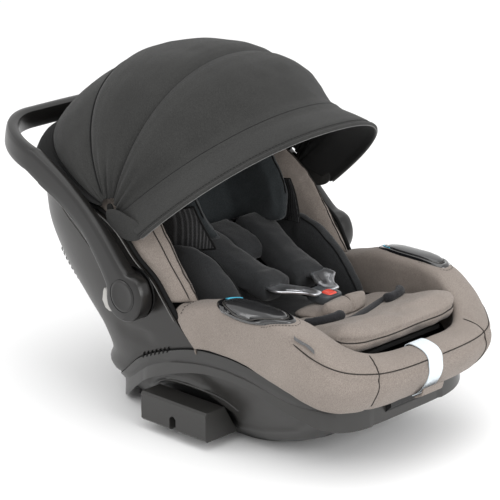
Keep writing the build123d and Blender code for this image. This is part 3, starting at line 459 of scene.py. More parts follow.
def displace(o, fn):
    """Moves every vertex by fn(position in mm, normal) -> mm vector."""
    me = o.data
    me.update()
    co = np.zeros(len(me.vertices) * 3, np.float32)
    me.vertices.foreach_get("co", co)
    co = co.reshape(-1, 3).astype(float)
    nor = np.array([v.normal[:] for v in me.vertices], float).reshape(-1, 3)
    mm = co * 1000
    mm[:, 1] -= YS
    out = co + fn(mm, nor) / 1000.0
    me.vertices.foreach_set("co", out.astype(np.float32).ravel())
    me.update()


def lumps(mm, seed, scale):
    return np.array([noise.noise(Vector((p[0] / scale + seed, p[1] / scale, p[2] / scale))) for p in mm])


def soften(o, voxel=5.0, cap=8.0, pressure=4.0, seed=0.0, wrinkle=0.6, sub=1):
    """Blows a closed form up as stuffed cloth, then keeps each point within cap mm of where it was."""
    rm = o.modifiers.new("remesh", "REMESH")
    rm.mode, rm.voxel_size = "VOXEL", voxel / 1000
    apply_mods(o)
    sm = o.modifiers.new("smooth", "SMOOTH")
    sm.factor, sm.iterations = 0.5, 4
    apply_mods(o)
    n = len(o.data.vertices)
    rest = np.zeros(n * 3, np.float32)
    o.data.vertices.foreach_get("co", rest)
    rest = rest.reshape(-1, 3)
    c = o.modifiers.new("cloth", "CLOTH")
    c.settings.quality = 4
    c.settings.mass = 0.3
    c.settings.use_pressure = True
    c.settings.uniform_pressure_force = pressure
    c.settings.tension_stiffness = c.settings.compression_stiffness = 12
    c.settings.shear_stiffness = 6
    c.settings.bending_stiffness = 0.4
    c.settings.effector_weights.gravity = 0.0
    c.point_cache.frame_start, c.point_cache.frame_end = 1, 20
    sc = bpy.context.scene
    for fr in range(1, 21):
        sc.frame_set(fr)
    dg = bpy.context.evaluated_depsgraph_get()
    e = o.evaluated_get(dg).to_mesh()
    now = np.zeros(n * 3, np.float32)
    if len(e.vertices) == n:
        e.vertices.foreach_get("co", now)
    now = now.reshape(-1, 3)
    o.evaluated_get(dg).to_mesh_clear()
    o.modifiers.clear()
    sc.frame_set(1)
    d = now - rest
    ln = np.linalg.norm(d, axis=1)
    lim = cap / 1000
    k = np.where(ln > 1e-9, lim * np.tanh(ln / lim) / np.maximum(ln, 1e-9), 0.0)
    o.data.vertices.foreach_set("co", (rest + d * k[:, None]).ravel())
    o.data.update()
    if sub:
        subdivide(o, sub)
    if wrinkle:
        displace(o, lambda mm, n: n * ((lumps(mm, seed, 26.0) * 1.1 + lumps(mm, seed + 9, 11.0) * 0.45) * wrinkle)[:, None])
    shade(o, 180)
    return o


# ---------------------------------------------------------------------------
# Outer form of base and shell
# ---------------------------------------------------------------------------
BODY = [
    (0, 108, -185, 92, 3.5), (18, 128, -234, 138, 4.2), (48, 147, -270, 162, 4.5),
    (80, 162, -306, 142, 4.5), (112, 171, -338, 152, 4.5), (150, 178, -344, 195, 4.0),
    (200, 185, -310, 243, 3.8), (260, 190, -270, 272, 3.8), (312, 190, -240, 279, 3.8),
]
_B = [hermite([b[0] for b in BODY], [b[k] for b in BODY]) for k in range(1, 5)]
YC = -100.0


def body_at(z):
    z = min(max(z, 0.0), 312.0)
    return tuple(float(f(z)) for f in _B)


def ring_pt(t, w, yf, yr, n, inset=0.0, yc=YC):
    c, s = math.cos(t), math.sin(t)
    reach = (yr - yc) if s > 0 else (yc - yf)
    return ((w - inset) * math.copysign(abs(c) ** (2 / n), c), yc + (reach - inset) * math.copysign(abs(s) ** (2 / n), s))


def skin_x(y, z):
    """Half width of the outer form at a side-view point."""
    w, yf, yr, n = body_at(z)
    reach = (yr - YC) if y > YC else (YC - yf)
    q = min(abs(y - YC) / reach, 0.9999)
    return w * (1 - q**n) ** (1 / n)


ARCH = [(-345, 86), (-318, 91.5), (-290, 102), (-255, 116), (-220, 127),
        (-184, 135.5), (-148, 139), (-111, 137.5), (-83, 133), (-48, 123),
        (-15, 111), (15, 97.5), (35, 86), (57, 70), (80, 53), (105, 38),
        (130, 27), (165, 20)]
RIM = [(-90, 136), (-62, 169), (-43, 196), (-25, 220), (4, 241.5), (45, 278),
       (95, 298), (160, 305)]
TOP = [(-66, 189), (-80, 195), (-96, 199.5), (-133, 209), (-160, 213), (-210, 213),
       (-252, 207), (-279, 195), (-305, 178), (-322, 166), (-338, 160), (-352, 158),
       (-366, 156)]
arch_z = hermite([p[0] for p in ARCH], [p[1] for p in ARCH])
rim_z = hermite([p[0] for p in RIM], [p[1] for p in RIM])
top_z = hermite([p[0] for p in TOP[::-1]], [p[1] for p in TOP[::-1]])


def even_ts(n, lo, hi, w=170.0, yf=-300.0, yr=200.0, sq=4.2):
    """Ring parameters from lo to hi, evenly spaced along the ring."""
    ts = np.linspace(lo, hi, 4001)
    p = np.array([ring_pt(t, w, yf, yr, sq) for t in ts])
    d = np.concatenate([[0], np.cumsum(np.linalg.norm(np.diff(p, axis=0), axis=1))])
    return np.interp(np.linspace(0, d[-1], n), d, ts)


def solve_z(t, line, z0=80.0):
    """Height at which the ring point at t meets a side-view line z = line(y)."""
    z = z0
    for _ in range(60):
        y = ring_pt(t, *body_at(z))[1]
        z += 0.5 * (float(line(y)) - z)
    return z


def side_bulge(mm):
    """How far the moulded features stand in or out of the plain outer form of the base."""
    y, z = mm[:, 1], mm[:, 2]
    side = np.abs(mm[:, 0]) > 70
    d = np.zeros(len(mm))

    def near(y0, z0, ry, rz, p=2.0):
        return np.exp(-(np.abs((y - y0) / ry) ** p + np.abs((z - z0) / rz) ** p))

    # scooped hollow under the arch, its raised lip and the deep recess below
    lip_y = np.array([25, -2, -28, -60, -95, -134.0])
    lip_z = np.array([43, 61, 73, 77, 74, 53.0])
    lz = np.interp(y, lip_y[::-1], lip_z[::-1])
    inside = ((y > -134) & (y < 28)).astype(float)
    edge = np.clip((y + 138) / 14, 0, 1) * np.clip((32 - y) / 14, 0, 1)
    d += side * edge * inside * (np.exp(-((z - lz) / 3.2) ** 2) * 3.2)
    d -= side * edge * inside * np.clip((lz - 4 - z) / 8, 0, 1) * np.clip((z - 22) / 10, 0, 1) * 7.0
    d -= side * edge * inside * np.exp(-((z - lz - 16) / 12.0) ** 2) * 2.4
    # lower ridge towards the nose
    ry = np.array([-300, -272, -237, -180, -112.0])
    rz = np.array([88, 75, 48, 33, 20.0])
    rl = np.interp(y, ry, rz)
    on = np.clip((-108 - y) / 20, 0, 1)
    d += side * on * np.exp(-((z - rl) / 4.0) ** 2) * 2.2
    d -= side * on * np.clip((rl - 5 - z) / 10, 0, 1) * 2.5
    # lighter bevelled band just under the arch
    az = np.interp(y, [p[0] for p in ARCH], [p[1] for p in ARCH])
    gap = az - z
    d -= np.exp(-((gap - 24) / 3.0) ** 2) * 1.3 * side
    d += np.clip(1 - np.abs(gap - 10) / 13, 0, 1) * 1.1 * side
    return d


def base_shell():
    nt_, nz = 260, 56
    ts = even_ts(nt_, 0, 2 * PI * (1 - 1 / nt_))
    outer = []
    tops = [solve_z(t, arch_z) - 0.5 for t in ts]
    for k in range(nz):
        row = []
        for t, zt in zip(ts, tops):
            z = 0.4 + (zt - 0.4) * (k / (nz - 1)) ** 0.9
            x, y = ring_pt(t, *body_at(z))
            row.append((x, y, z))
        outer.append(row)
    top = outer[-1]
    inner, floor = [], []
    for dep in (0.0, 14.0, 34.0):
        row = []
        for (x, y, z), t in zip(top, ts):
            xi, yi = ring_pt(t, *body_at(z), inset=5.0)
            zz = max(z - dep, 3.0)
            row.append((xi, yi, zz))
        inner.append(row)
    rows = outer + inner
    v, f = grid(rows, close_c=True)
    # underside
    n = len(outer[0])
    under = [(p[0] * 0.97, YC + (p[1] - YC) * 0.97, 0.1) for p in outer[0]]
    b = len(v)
    v += under
    c = len(v)
    v.append((0, YC, 0.1))
    for j in range(n):
        j2 = (j + 1) % n
        f.append((j, j2, b + j2, b + j))
        f.append((b + j, b + j2, c))
    o = make("base_shell_skin", v, f, "base", sharp=180, mats=["base", "base_band", "dark"])

    def mv(mm, nor):
        keep = np.where((mm[:, 2] > 2.0), 1.0, 0.0)
        out = side_bulge(mm)
        radial = nor.copy()
        radial[:, 2] *= 0.2
        return radial * (out * keep)[:, None]
    nv = n * nz
    me = o.data
    displace(o, mv)
    # band faces under the arch take base_band; faces of the deep recess below the lip take the near-black 'dark'
    # material: painted shade in the recess
    for p in me.polygons:
        c_ = p.center
        y, z, x = c_[1] * 1000 - YS, c_[2] * 1000, abs(c_[0]) * 1000
        az = float(arch_z(y))
        gap = az - z
        lz = np.interp(y, [-134, -95, -60, -28, -2, 25], [53, 74, 77, 73, 61, 43])
        if 1.5 < gap < 22 and -300 < y < 12 and x > 100:
            p.material_index = 1
        elif -134 < y < 27 and z < lz - 7 and z > 18 and x > 90:
            p.material_index = 2
    shade(o, 48)
    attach(o, "shell")
    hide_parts("base_shell")
    return o


def arch_line(t0, t1, n, off=0.0, dz=0.0, line=arch_z):
    pts = []
    for t in even_ts(n, t0, t1):
        z = solve_z(t, line) + dz
        x, y = ring_pt(t, *body_at(z), inset=-off)
        pts.append((x, y, z))
    return pts


def seat_shell():
    nt_, nz = 220, 44
    # from the front-left edge round the head end to the front-right edge
    ts = even_ts(nt_, -PI / 2 + 0.0, 1.5 * PI)

    def z_hi(t):
        z = 200.0
        for _ in range(80):
            y = ring_pt(t, *body_at(z))[1]
            if y < -88:
                tz = 136.0
            else:
                tz = float(rim_z(y))
            z += 0.35 * (min(306.0, tz) - z)
        return z
    cols = []
    for t in ts:
        z0 = solve_z(t, arch_z) + 0.6
        z1 = z_hi(t)
        if z1 < z0 + 1.0:
            cols.append(None)
            continue
        cols.append([(*ring_pt(t, *body_at(z0 + (z1 - z0) * k / (nz - 1))), z0 + (z1 - z0) * k / (nz - 1)) for k in range(nz)])
    keep = [i for i, c in enumerate(cols) if c is not None]
    cols = cols[keep[0]:keep[-1] + 1]
    cols = [c for c in cols if c is not None]
    v, f = grid(cols)
    o = make("seat_shell_skin", v, f, "shell", sharp=180)

    def mv(mm, nor):
        y, z = mm[:, 1], mm[:, 2]
        d = np.zeros(len(mm))
        side = np.abs(mm[:, 0]) > 100
        # rounded lower edge and a shallow hollow in the flank
        az = np.interp(y, [p[0] for p in ARCH], [p[1] for p in ARCH])
        d -= np.exp(-((z - az) / 4.0) ** 2) * 2.0
        hollow = np.exp(-(((y - 28) / 34) ** 4 + ((z - 128) / 11) ** 4))
        d -= side * hollow * 2.6
        return nor * d[:, None]
    displace(o, mv)
    s = o.modifiers.new("thick", "SOLIDIFY")
    s.thickness, s.offset = 0.004, -1
    apply_mods(o)
    shade(o, 45)
    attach(o, "shell")
    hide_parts("seat_shell")
    return o


def on_skin(y, z, s=1, off=0.4):
    return (s * (skin_x(y, z) + off), y, z)


def skin_line(pts, n, s, off=0.3):
    line = crom(pts, n)
    return [on_skin(y, z, s, off) for y, z in line]


def shell_details():
    for s in (-1, 1):
        nm = "right" if s > 0 else "left"
        # pair of thin contour edges sweeping down the back shell, as light tubes: painted highlights along the edges
        tube(f"shell_contour_a_{nm}", skin_line([(192, 294), (160, 273), (119, 249), (86, 221), (74, 210)], 60, s, 0.0), 0.8, "contour", "shell", 6)
        tube(f"shell_contour_b_{nm}", skin_line([(180, 297), (119, 272), (85, 239), (71, 206)], 60, s, 0.0), 0.6, "contour", "shell", 6)
        # painted highlight: a light tube along the shell's front edge; painted shadow: a near-black tube in the gap
        # inside it
        rim = [(y + 2.5, z - 2.0) for y, z in RIM[1:]]
        tube(f"shell_rim_highlight_{nm}", skin_line(rim, 80, s, 0.5), 0.9, "rimlight", "shell", 6)
        tube(f"shell_rim_shadow_gap_{nm}", skin_line([(y - 3.0, z + 2.5) for y, z in RIM[1:]], 80, s, -3.5), 3.0, "gap", "shell", 8)
        # hatched vent field under the embossed panel, drawn as near-black tubes: painted shade in the vent slots
        for k in range(7):
            y = 18 - k * 9.2
            z = 97 + k * 3.9
            tube(f"shell_vent_{nm}_{k}", skin_line([(y + 3, z - 5.5), (y - 3, z + 5.5)], 8, s, 0.3), 1.25, "gap", "shell", 6)
        # ribbed vents down the rear edge; the ribs alternate a light and a near-black material: painted highlight and
        # painted shade on the ribs
        for k in range(9):
            zc = 206 - k * 6.4
            w, yf, yr, n = body_at(zc)
            pts = []
            for t in np.linspace(0.42 * PI if s > 0 else 0.58 * PI, 0.26 * PI if s > 0 else 0.74 * PI, 12):
                x, y = ring_pt(t, w, yf, yr, n, inset=-0.5)
                pts.append((x, y, zc - 0.10 * (y - 180)))
            tube(f"shell_rear_rib_{nm}_{k}", pts, 0.9, "contour" if k % 2 else "dark", "shell", 6)
    # parting gap between base and shell, as a near-black tube: painted shadow in the gap
    tube("parting_shadow_gap", arch_line(0, 2 * PI * (1 - 1 / 240), 240, off=-2.6), 2.6, "gap", "shell", 6, closed=True)


# ---------------------------------------------------------------------------
# Handle: one swept bar from hub to hub
# ---------------------------------------------------------------------------
ARM = [(37, 233.5, 21), (59, 262.8, 17.6), (87, 287.5, 16.8), (126.5, 314.5, 17.3), (165, 334.5, 19.0),
       (192.5, 348.6, 18.6), (215, 356.5, 17.5)]


def handle():
    hub, u_dir = (4.0, 198.5), math.radians(52)
    st = []          # (centre, side direction, up direction, half height, half thickness, cut)
    R = 36.5
    for u in (-36.3, -35, -31, -25, -17, -8, 2, 12, 20, 27):
        b = math.sqrt(max(R * R - u * u, 4.0))
        k = max(0.0, (u - 8) / 20)
        if u > 8:
            b = b * (1 - k) + 21.5 * k if b > 21.5 else 21.5
            b = max(b, 21.5)
        st.append(((hub[0] + u * math.cos(u_dir), hub[1] + u * math.sin(u_dir)), b, 11.3))
    path = [(p[0], b, th) for p, b, th in st]
    cen = [p for p, _, _ in st] + [(a, b) for a, b, _ in ARM[1:]]
    hh = [b for _, b, _ in st] + [c for _, _, c in ARM[1:]]
    th = [t for _, _, t in st] + [9.6, 8.4, 7.9, 7.75, 7.8, 8.0]
    cen, hh, th = np.array(cen), np.array(hh), np.array(th)
    xs = np.array([205.9] * len(st) + [204.6, 203.6, 203.2, 203.2, 203.2, 203.0])
    P, H, T = [], [], []
    full = np.column_stack([-xs, cen, hh, th])[:-1]
    dense = resample(crom(full, 110), 110)
    # rounded corner in plan, then the grip across
    corner = []
    y0, z0 = dense[-1][1], dense[-1][2]
    tgt_y, tgt_z = 303.5, 375.0
    rad_x = 92.0
    for k in range(1, 25):
        a = k / 24 * PI / 2
        e = 1.0
        sx = math.sin(a) ** e if a > 0 else 0
        x = -203.2 + rad_x * (1 - math.cos(a) ** e if k < 24 else 1.0)
        y = y0 + (tgt_y - y0) * sx
        z = z0 + (tgt_z - z0) * sx
        corner.append((x, y, z, 17.5 - 2.3 * k / 24, 8.0 + 0.6 * k / 24))
    across = [(x, tgt_y + 1.5 * math.cos(x / 111 * PI / 2), tgt_z + 1.0 * math.cos(x / 111 * PI / 2), 15.2, 8.6) for x in np.linspace(-111.2, 0, 16)[1:]]
    half = np.vstack([dense, corner, across])
    other = half[:-1][::-1].copy()
    other[:, 0] *= -1
    line = np.vstack([half, other])
    n = len(line)
    pos = line[:, :3]
    tan = np.gradient(pos, axis=0)
    tan /= np.linalg.norm(tan, axis=1)[:, None]
    rows = []
    for i in range(n):
        t = tan[i]
        hh_, th_ = line[i, 3], line[i, 4]
        # 'out' points away from the seat: across on the arms, backwards on the grip
        f = min(max((abs(pos[i][0]) - 111.0) / 92.0, 0.0), 1.0)
        f = math.sin(f * PI / 2) if f < 1 else 1.0
        sx = -1 if pos[i][0] < 0 else 1
        tilt = math.radians(14.5)
        back = np.array([0, math.cos(tilt), math.sin(tilt)])
        out = np.array([sx * f, 0, 0]) + (1 - f) * back if f < 1 else np.array([sx, 0, 0.0])
        out = out - t * (out @ t)
        out /= np.linalg.norm(out)
        up = np.cross(t, out)
        if up[2] < 0:
            up = -up
        c = min(5.0, th_ * 0.55)          # chamfer
        cy = min(4.2, hh_ * 0.4)
        sec = []
        prof = [(-th_, -hh_ + cy), (-th_ + c * 0.25, -hh_ + cy * 0.35), (-th_ + c, -hh_), (0, -hh_ - 0.4), (th_ - c, -hh_), (th_ - c * 0.25, -hh_ + cy * 0.35),
                (th_, -hh_ + cy), (th_ + 0.35, -hh_ * 0.4), (th_ + 0.45, 0), (th_ + 0.35, hh_ * 0.4),
                (th_, hh_ - cy * 1.25), (th_ - c * 0.3, hh_ - cy * 0.42), (th_ - c, hh_), (0, hh_ + 0.5), (-th_ + c, hh_), (-th_ + c * 0.25, hh_ - cy * 0.35), (-th_, hh_ - cy), (-th_ - 0.2, 0)]
        for a, b in prof:
            sec.append(tuple(pos[i] + out * a + up * b))
        rows.append(sec)
    v, f = grid(rows, close_c=True, cap0=True, cap1=True)
    o = make("handle_bar", v, f, "handle", "handle", ["handle_frame"], sharp=30)
    # painted highlight: a light tube along the lower edge of the outer face
    for s in (-1, 1):
        nm = "right" if s > 0 else "left"
        lo = [(53, 193), (56, 221), (66, 241), (90, 267), (129, 294.5), (178, 318.5)]
        pts = on_surface(o, [(s * 211.0, y + 0.5, z + 2.2) for y, z in crom(lo[1:], 60)], 0.1)
        tube(f"handle_edge_highlight_{nm}", pts, 0.7, "rimlight", "handle", 6)
        # hub: raised rim, groove and round cap; the groove ring is near-black: painted shade in the groove
        disc(f"handle_groove_{nm}", s, (4, 198.5), [(23.6, 215.0), (23.4, 217.55), (22.6, 217.7), (22.2, 217.3), (21.9, 215.0)], "gap", "handle", ring=True)
        disc(f"handle_cap_skin_{nm}", s, (4, 198.5), [(21.9, 214.5), (21.8, 217.2), (21.0, 217.9), (18.5, 218.2), (17.2, 217.9), (8.0, 217.7), (0.0, 217.65)], "handle", "handle", [f"handle_cap_{nm}"])
        # release button: a curved grey key on the rear of the hub
        sec = []
        for a, r in ((4, 39.2), (-5, 41.5), (-20, 46.0), (-35, 45.2), (-44, 41.5), (-50, 37.8)):
            sec.append((4 + r * math.cos(math.radians(a)), 198.5 + r * math.sin(math.radians(a))))
        inner = [(4 + 32.5 * math.cos(math.radians(a)), 198.5 + 32.5 * math.sin(math.radians(a))) for a in (-46, -35, -20, -5, 2)]
        prism(f"release_key_{nm}", sec + inner, s * 200.2, s * 214.8, "button", f"handle_button_{nm}", 2.2, 4, [f"handle_button_{nm}"])
        # thick inner hub on the seat side
        disc(f"hub_inner_{nm}", s, (4, 198.5), [(0.0, 189.8), (33.5, 190.0), (36.0, 190.8), (36.6, 192.0), (36.6, 194.0)], "dark", "handle")


def disc(name, s, centre, prof, mat, body, replaces=(), ring=False, n=72):
    """Turned part about the hinge line: prof is (radius, |x|) from rim to middle."""
    rows = []
    for r, x in prof:
        rows.append([(s * x, centre[0] + r * math.cos(a), centre[1] + r * math.sin(a)) for a in np.linspace(0, 2 * PI, n, endpoint=False)])
    v, f = grid(rows, close_c=True)
    return make(name, v, f, mat, body, replaces, sharp=35)


# ---------------------------------------------------------------------------
# Canopy: curved cloth gores between arches that all meet at the fan point
# ---------------------------------------------------------------------------
AX = (59.0, 304.0)
BACK_EDGE = dict(w=187, h=222, n=2.6, a=2.5, p=AX)
ARCH_A = dict(w=188, h=230, n=2.4, a=18.9, p=AX)
ARCH_B = dict(w=188, h=199, n=2.23, a=59.0, p=AX)
ARCH_C = dict(w=181, h=201, n=2.15, a=106.0, p=AX)
ARCH_D = dict(w=181, h=240, n=2.14, a=139.5, p=(56.0, 287.0))
ARCH_L = dict(w=192, h=241, n=2.27, a=140.0, p=(5.0, 267.0))


def arch_pts(d, n=120, r0=14.0, grow=0.0, turn=0.0):
    """Points of one arch from the near side over the top to the far side."""
    w, h, e = d["w"] + grow, d["h"] + grow, d["n"]
    t0 = math.asin((r0 / h) ** (e / 2))
    ts = np.linspace(t0, PI - t0, 3001)
    x = -np.sign(np.cos(ts)) * w * np.abs(np.cos(ts)) ** (2 / e)
    r = h * np.abs(np.sin(ts)) ** (2 / e)
    q = np.column_stack([x, r])
    q = resample(q, n)
    a = math.radians(d["a"] + turn)
    return np.column_stack([q[:, 0], d["p"][0] + q[:, 1] * math.cos(a), d["p"][1] + q[:, 1] * math.sin(a)])


def gore(name, d1, d2, bulge, nv, mat, body1, body2, node, prof, pleat=0.0, n=150, thick=1.8, seed=0.0, r0=14.0, soft=1.0, lim=None):
    a, b = arch_pts(d1, n, r0), arch_pts(d2, n, r0)
    top = np.array([np.interp(v, *zip(*prof)) for v in np.linspace(0, 1, nv)])
    rows = []
    for i, v in enumerate(np.linspace(0, 1, nv)):
        row = (1 - v) * a + v * b
        rad = row - np.array([0, AX[0], AX[1]])
        reach = np.linalg.norm(rad[:, 1:], axis=1)
        k = np.clip(reach / 150.0, 0, 1) ** 0.7
        # outward: away from the fan point, leaning sideways low down
        out = np.column_stack([row[:, 0] * 0.75, rad[:, 1], rad[:, 2]])
        out /= np.linalg.norm(out, axis=1)[:, None]
        row = row + out * (bulge * top[i] * k)[:, None]
        if pleat:
            wv = math.sin(v * PI) * np.exp(-((reach - 30) / 42.0) ** 2) * pleat
            row[:, 0] += np.sign(row[:, 0]) * wv * math.sin(v * PI * 7.0)
        fold = math.sin(v * PI) ** 0.6
        ln = lumps(row, seed, 55.0) * 1.8 + lumps(row, seed + 5, 23.0) * 0.7
        row = row + out * (ln * fold * soft)[:, None]
        if lim:
            dd = row[:, 1:] - np.array([4.0, 198.0])
            rr = np.linalg.norm(dd, axis=1)
            over = np.where(np.abs(row[:, 0]) < 150, np.clip(rr - lim, 0, 50), 0)
            row[:, 1:] -= dd / rr[:, None] * over[:, None]
        rows.append(row)
    rows = np.array(rows)
    du = np.gradient(rows, axis=1)
    dv = np.gradient(rows, axis=0)
    nor = np.cross(du, dv)
    nor /= np.maximum(np.linalg.norm(nor, axis=2)[:, :, None], 1e-9)
    mid = rows[nv // 2][n // 2]
    if nor[nv // 2][n // 2] @ (mid - np.array([0, AX[0], AX[1]])) < 0:
        nor = -nor
    inner = rows - nor * thick
    V = np.concatenate([rows.reshape(-1, 3), inner.reshape(-1, 3)])
    f1 = grid_faces(nv, n)
    f2 = [tuple(q + nv * n for q in reversed(p)) for p in f1]
    rim = []
    m = nv * n
    edge = [j for j in range(n)] + [i * n + n - 1 for i in range(1, nv)] + [(nv - 1) * n + j for j in range(n - 2, -1, -1)] + [i * n for i in range(nv - 2, 0, -1)]
    for q in range(len(edge)):
        e0, e1 = edge[q], edge[(q + 1) % len(edge)]
        rim.append((e1, e0, e0 + m, e1 + m))
    fm = [0] * len(f1) + [1] * len(f2) + [1] * len(rim)
    o = cloth_obj(name, V, f1 + f2 + rim, [mat, "lining"], fm)
    if body1 == body2:
        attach(o, body1)
    else:
        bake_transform(o)
    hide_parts(node)
    return o, rows


def cloth_obj(name, V, F, mats, fm):
    me = bpy.data.meshes.new(name)
    v = np.asarray(V, float).copy()
    v[:, 1] += YS
    me.from_pydata([tuple(p) for p in v / 1000.0], [], [tuple(f) for f in F])
    for m in mats:
        me.materials.append(M[m])
    me.polygons.foreach_set("material_index", fm)
    o = bpy.data.objects.new(name, me)
    bpy.context.scene.collection.objects.link(o)
    bm = bmesh.new()
    bm.from_mesh(me)
    bmesh.ops.recalc_face_normals(bm, faces=bm.faces)
    bm.to_mesh(me)
    bm.free()
    shade(o, 50)
    return o


def lifted(pts, d):
    p = np.asarray(pts, float)
    out = np.column_stack([p[:, 0] * 0.75, p[:, 1] - AX[0], p[:, 2] - AX[1]])
    out /= np.linalg.norm(out, axis=1)[:, None]
    return p + out * d


def canopy():
    sheets = []
    back, _ = gore("canopy_back_cloth", BACK_EDGE, ARCH_A, 24.0, 18, "rear", "shell", "shell", "canopy_back_panel",
                   [(0, 0), (0.1, 0.5), (0.3, 0.88), (0.5, 1), (0.75, 0.8), (0.9, 0.42), (1, 0)], seed=3.1, soft=0.8)
    p1, r1 = gore("canopy_cloth_1", ARCH_A, ARCH_B, 12.0, 30, "charcoal", "shell", "canopy_rib_b", "canopy_panel_1",
                  [(0, 0), (0.07, 0.42), (0.18, 0.78), (0.35, 0.98), (0.5, 1), (0.7, 0.78), (0.88, 0.36), (1, 0)], pleat=1.2, seed=7.7, lim=329.0)
    p2, r2 = gore("canopy_cloth_2", ARCH_B, ARCH_C, 17.0, 34, "charcoal", "canopy_rib_b", "canopy_rib_c", "canopy_panel_2",
                  [(0, 0), (0.06, 0.42), (0.15, 0.74), (0.3, 0.96), (0.45, 1), (0.7, 0.86), (0.85, 0.6), (0.94, 0.3), (1, 0)], pleat=2.6, seed=1.3, lim=329.0)
    p3, r3 = gore("canopy_cloth_3", ARCH_C, ARCH_D, 14.0, 26, "charcoal", "canopy_rib_c", "visor", "canopy_panel_3",
                  [(0, 0), (0.12, 0.55), (0.3, 0.98), (0.42, 1.0), (0.6, 0.66), (0.75, 0.22), (0.88, -0.1), (1, 0)], pleat=2.0, seed=5.9)
    vis, rv = gore("canopy_visor_cloth", ARCH_D, ARCH_L, 5.0, 16, "visor", "visor", "visor", "canopy_visor",
                   [(0, 0), (0.2, -0.25), (0.5, 0.5), (0.8, 0.9), (1, 0.25)], seed=2.2, thick=2.6, r0=16.0, soft=0.5)
    # piping, seams, lip
    tube("canopy_piping_a", lifted(arch_pts(ARCH_A, 150, 20), 1.2), 2.5, "piping", "shell", 8)
    tube("canopy_piping_b", lifted(arch_pts(ARCH_B, 150, 20), 1.4), 2.3, "piping", "canopy_rib_b", 8)
    # dark line sunk into the fold at arch C: painted shade in the crease
    tube("canopy_crease_c_shade", lifted(arch_pts(ARCH_C, 150, 24), -0.4), 0.7, "lining", "canopy_rib_c", 6)
    tube("canopy_seam_d", lifted(arch_pts(ARCH_D, 150, 24), -0.3), 0.7, "lining", "visor", 6)
    lip = rv[-1]
    tube("visor_lip_roll", resample(lip, 150), 2.9, "visor", "visor", 8)
    tube("visor_lip_edge", resample(lip - np.array([0, 1.3, 2.2]), 150), 0.8, "edge", "visor", 6)
    for k, nm in ((-2, "a"), (-3, "b")):
        stitches(f"visor_stitch_{nm}", resample(lifted(rv[k], 0.5), 150), "piping", "visor", 3.4, 1.4, 0.35)
    # sleeves that hold the ribs, seen from inside
    for d, nd, body in ((ARCH_A, "canopy_rib_a", "shell"), (ARCH_B, "canopy_rib_b", "canopy_rib_b"), (ARCH_C, "canopy_rib_c", "canopy_rib_c")):
        tube(nd + "_sleeve", arch_pts(d, 110, 32 if nd.endswith("a") else 16, grow=-6.2), 3.4, "lining", body, 10, flat=2.6, replaces=[nd])
    # fan-point button
    for s in (-1, 1):
        nm = "right" if s > 0 else "left"
        disc(f"canopy_pivot_cap_{nm}", s, AX, [(6.0, 184.0), (5.9, 186.0), (5.0, 186.8), (3.0, 187.0), (0.0, 187.2)], "piping", "shell", ["canopy_pivots"])
        cheek = crom([(62.0, 300.0), (52.0, 304.5), (38.0, 305.0), (22.0, 301.5), (8.0, 298.5), (-3.0, 294.0), (-8.5, 287.0),
                      (-7.0, 278.0), (2.0, 271.0), (16.0, 267.0), (34.0, 268.5), (50.0, 276.0), (62.0, 289.0)], 60, closed=True)
        prism(f"visor_cheek_{nm}", cheek, s * 187.6, s * 189.6, "visor", "visor", 0.8, 3)
        rim = [(s * 188.7, y, z) for y, z in (np.array(cheek) - (29, 291)) * 0.93 + (29, 291)]
        stitches(f"visor_cheek_stitch_{nm}", [q for q in rim if q[2] < 300], "piping", "visor", 3.4, 1.4, 0.3)


# ---------------------------------------------------------------------------
# Padded front rim with armrests
# ---------------------------------------------------------------------------
FRONT = [(88, 171, -332, 4), (104, 176, -352, 4), (137, 180.5, -366, 4.2), (162, 181, -357, 4.2), (218, 180.5, -328, 4.2)]
_F = [hermite([b[0] for b in FRONT], [b[k] for b in FRONT]) for k in (1, 2, 3)]
RC = -150.0


def outer_pt(t, z, inset=0.0):
    zz = min(max(z, 88.0), 218.0)
    return ring_pt(t, float(_F[0](zz)), float(_F[1](zz)), 40.0, float(_F[2](zz)), inset, yc=RC)


def well_pt(t, inset=0.0):
    return ring_pt(t, 133.0, -326.0, 40.0, 4.0, inset, yc=RC)


REAR = [(-57, 183), (-65.5, 169), (-94, 139.6)]


def rear_y(z):
    return float(np.interp(z, [139.6, 169, 183, 200], [-94, -65.5, -57, -50]))


def section(t):
    """Cross profile of the rim at ring parameter t: under edge, outer wall, rounded top, inner wall."""
    y = outer_pt(t, 150)[1]
    zl = max(float(arch_z(y)) + 2.2, 94.0)
    for _ in range(20):
        y = outer_pt(t, zl)[1]
        zl += 0.5 * (max(float(arch_z(y)) + 2.2, 94.0) - zl)
    zt = 205.0
    for _ in range(60):
        y = outer_pt(t, zt - 8)[1]
        zt += 0.4 * (float(top_z(min(y, -66.0))) - zt)
    yi = well_pt(t)[1]
    zi = float(top_z(min(yi, -66.0)))
    pts = []
    for inset, dz in ((9, 3.0), (3.0, 0.4), (0.3, 2.6)):
        x, y = outer_pt(t, zl + dz, inset)
        pts.append((x, y, zl + dz))
    zo = zt - 15
    for k in range(1, 7):
        z = zl + 6 + (zo - zl - 6) * k / 6
        x, y = outer_pt(t, z, -1.0 * math.sin(PI * k / 6.5))
        pts.append((x, y, z))
    o = np.array([*outer_pt(t, zo, 0), 0.0])
    i = np.array([*well_pt(t), 0.0])
    m = 2.7
    for q in (-0.97, -0.88, -0.74, -0.55, -0.3, 0.0, 0.3, 0.55, 0.74, 0.88, 0.97):
        w = (q + 1) / 2
        p = o * (1 - w) + i * w
        z = zt * (1 - w) + zi * w
        z -= 15.0 * (1 - (1 - abs(q) ** m) ** (1 / m)) - 1.2
        pts.append((p[0], p[1], z))
    for dz in (17, 26, 40, 60):
        x, y = well_pt(t, 0.6)
        pts.append((x, y, max(zi - dz, 92.0)))
    return pts


def t_range():
    ts = np.linspace(PI - 0.6, 2 * PI + 0.6, 6001)
    return ts


COVER_N = 190
_prof = {}


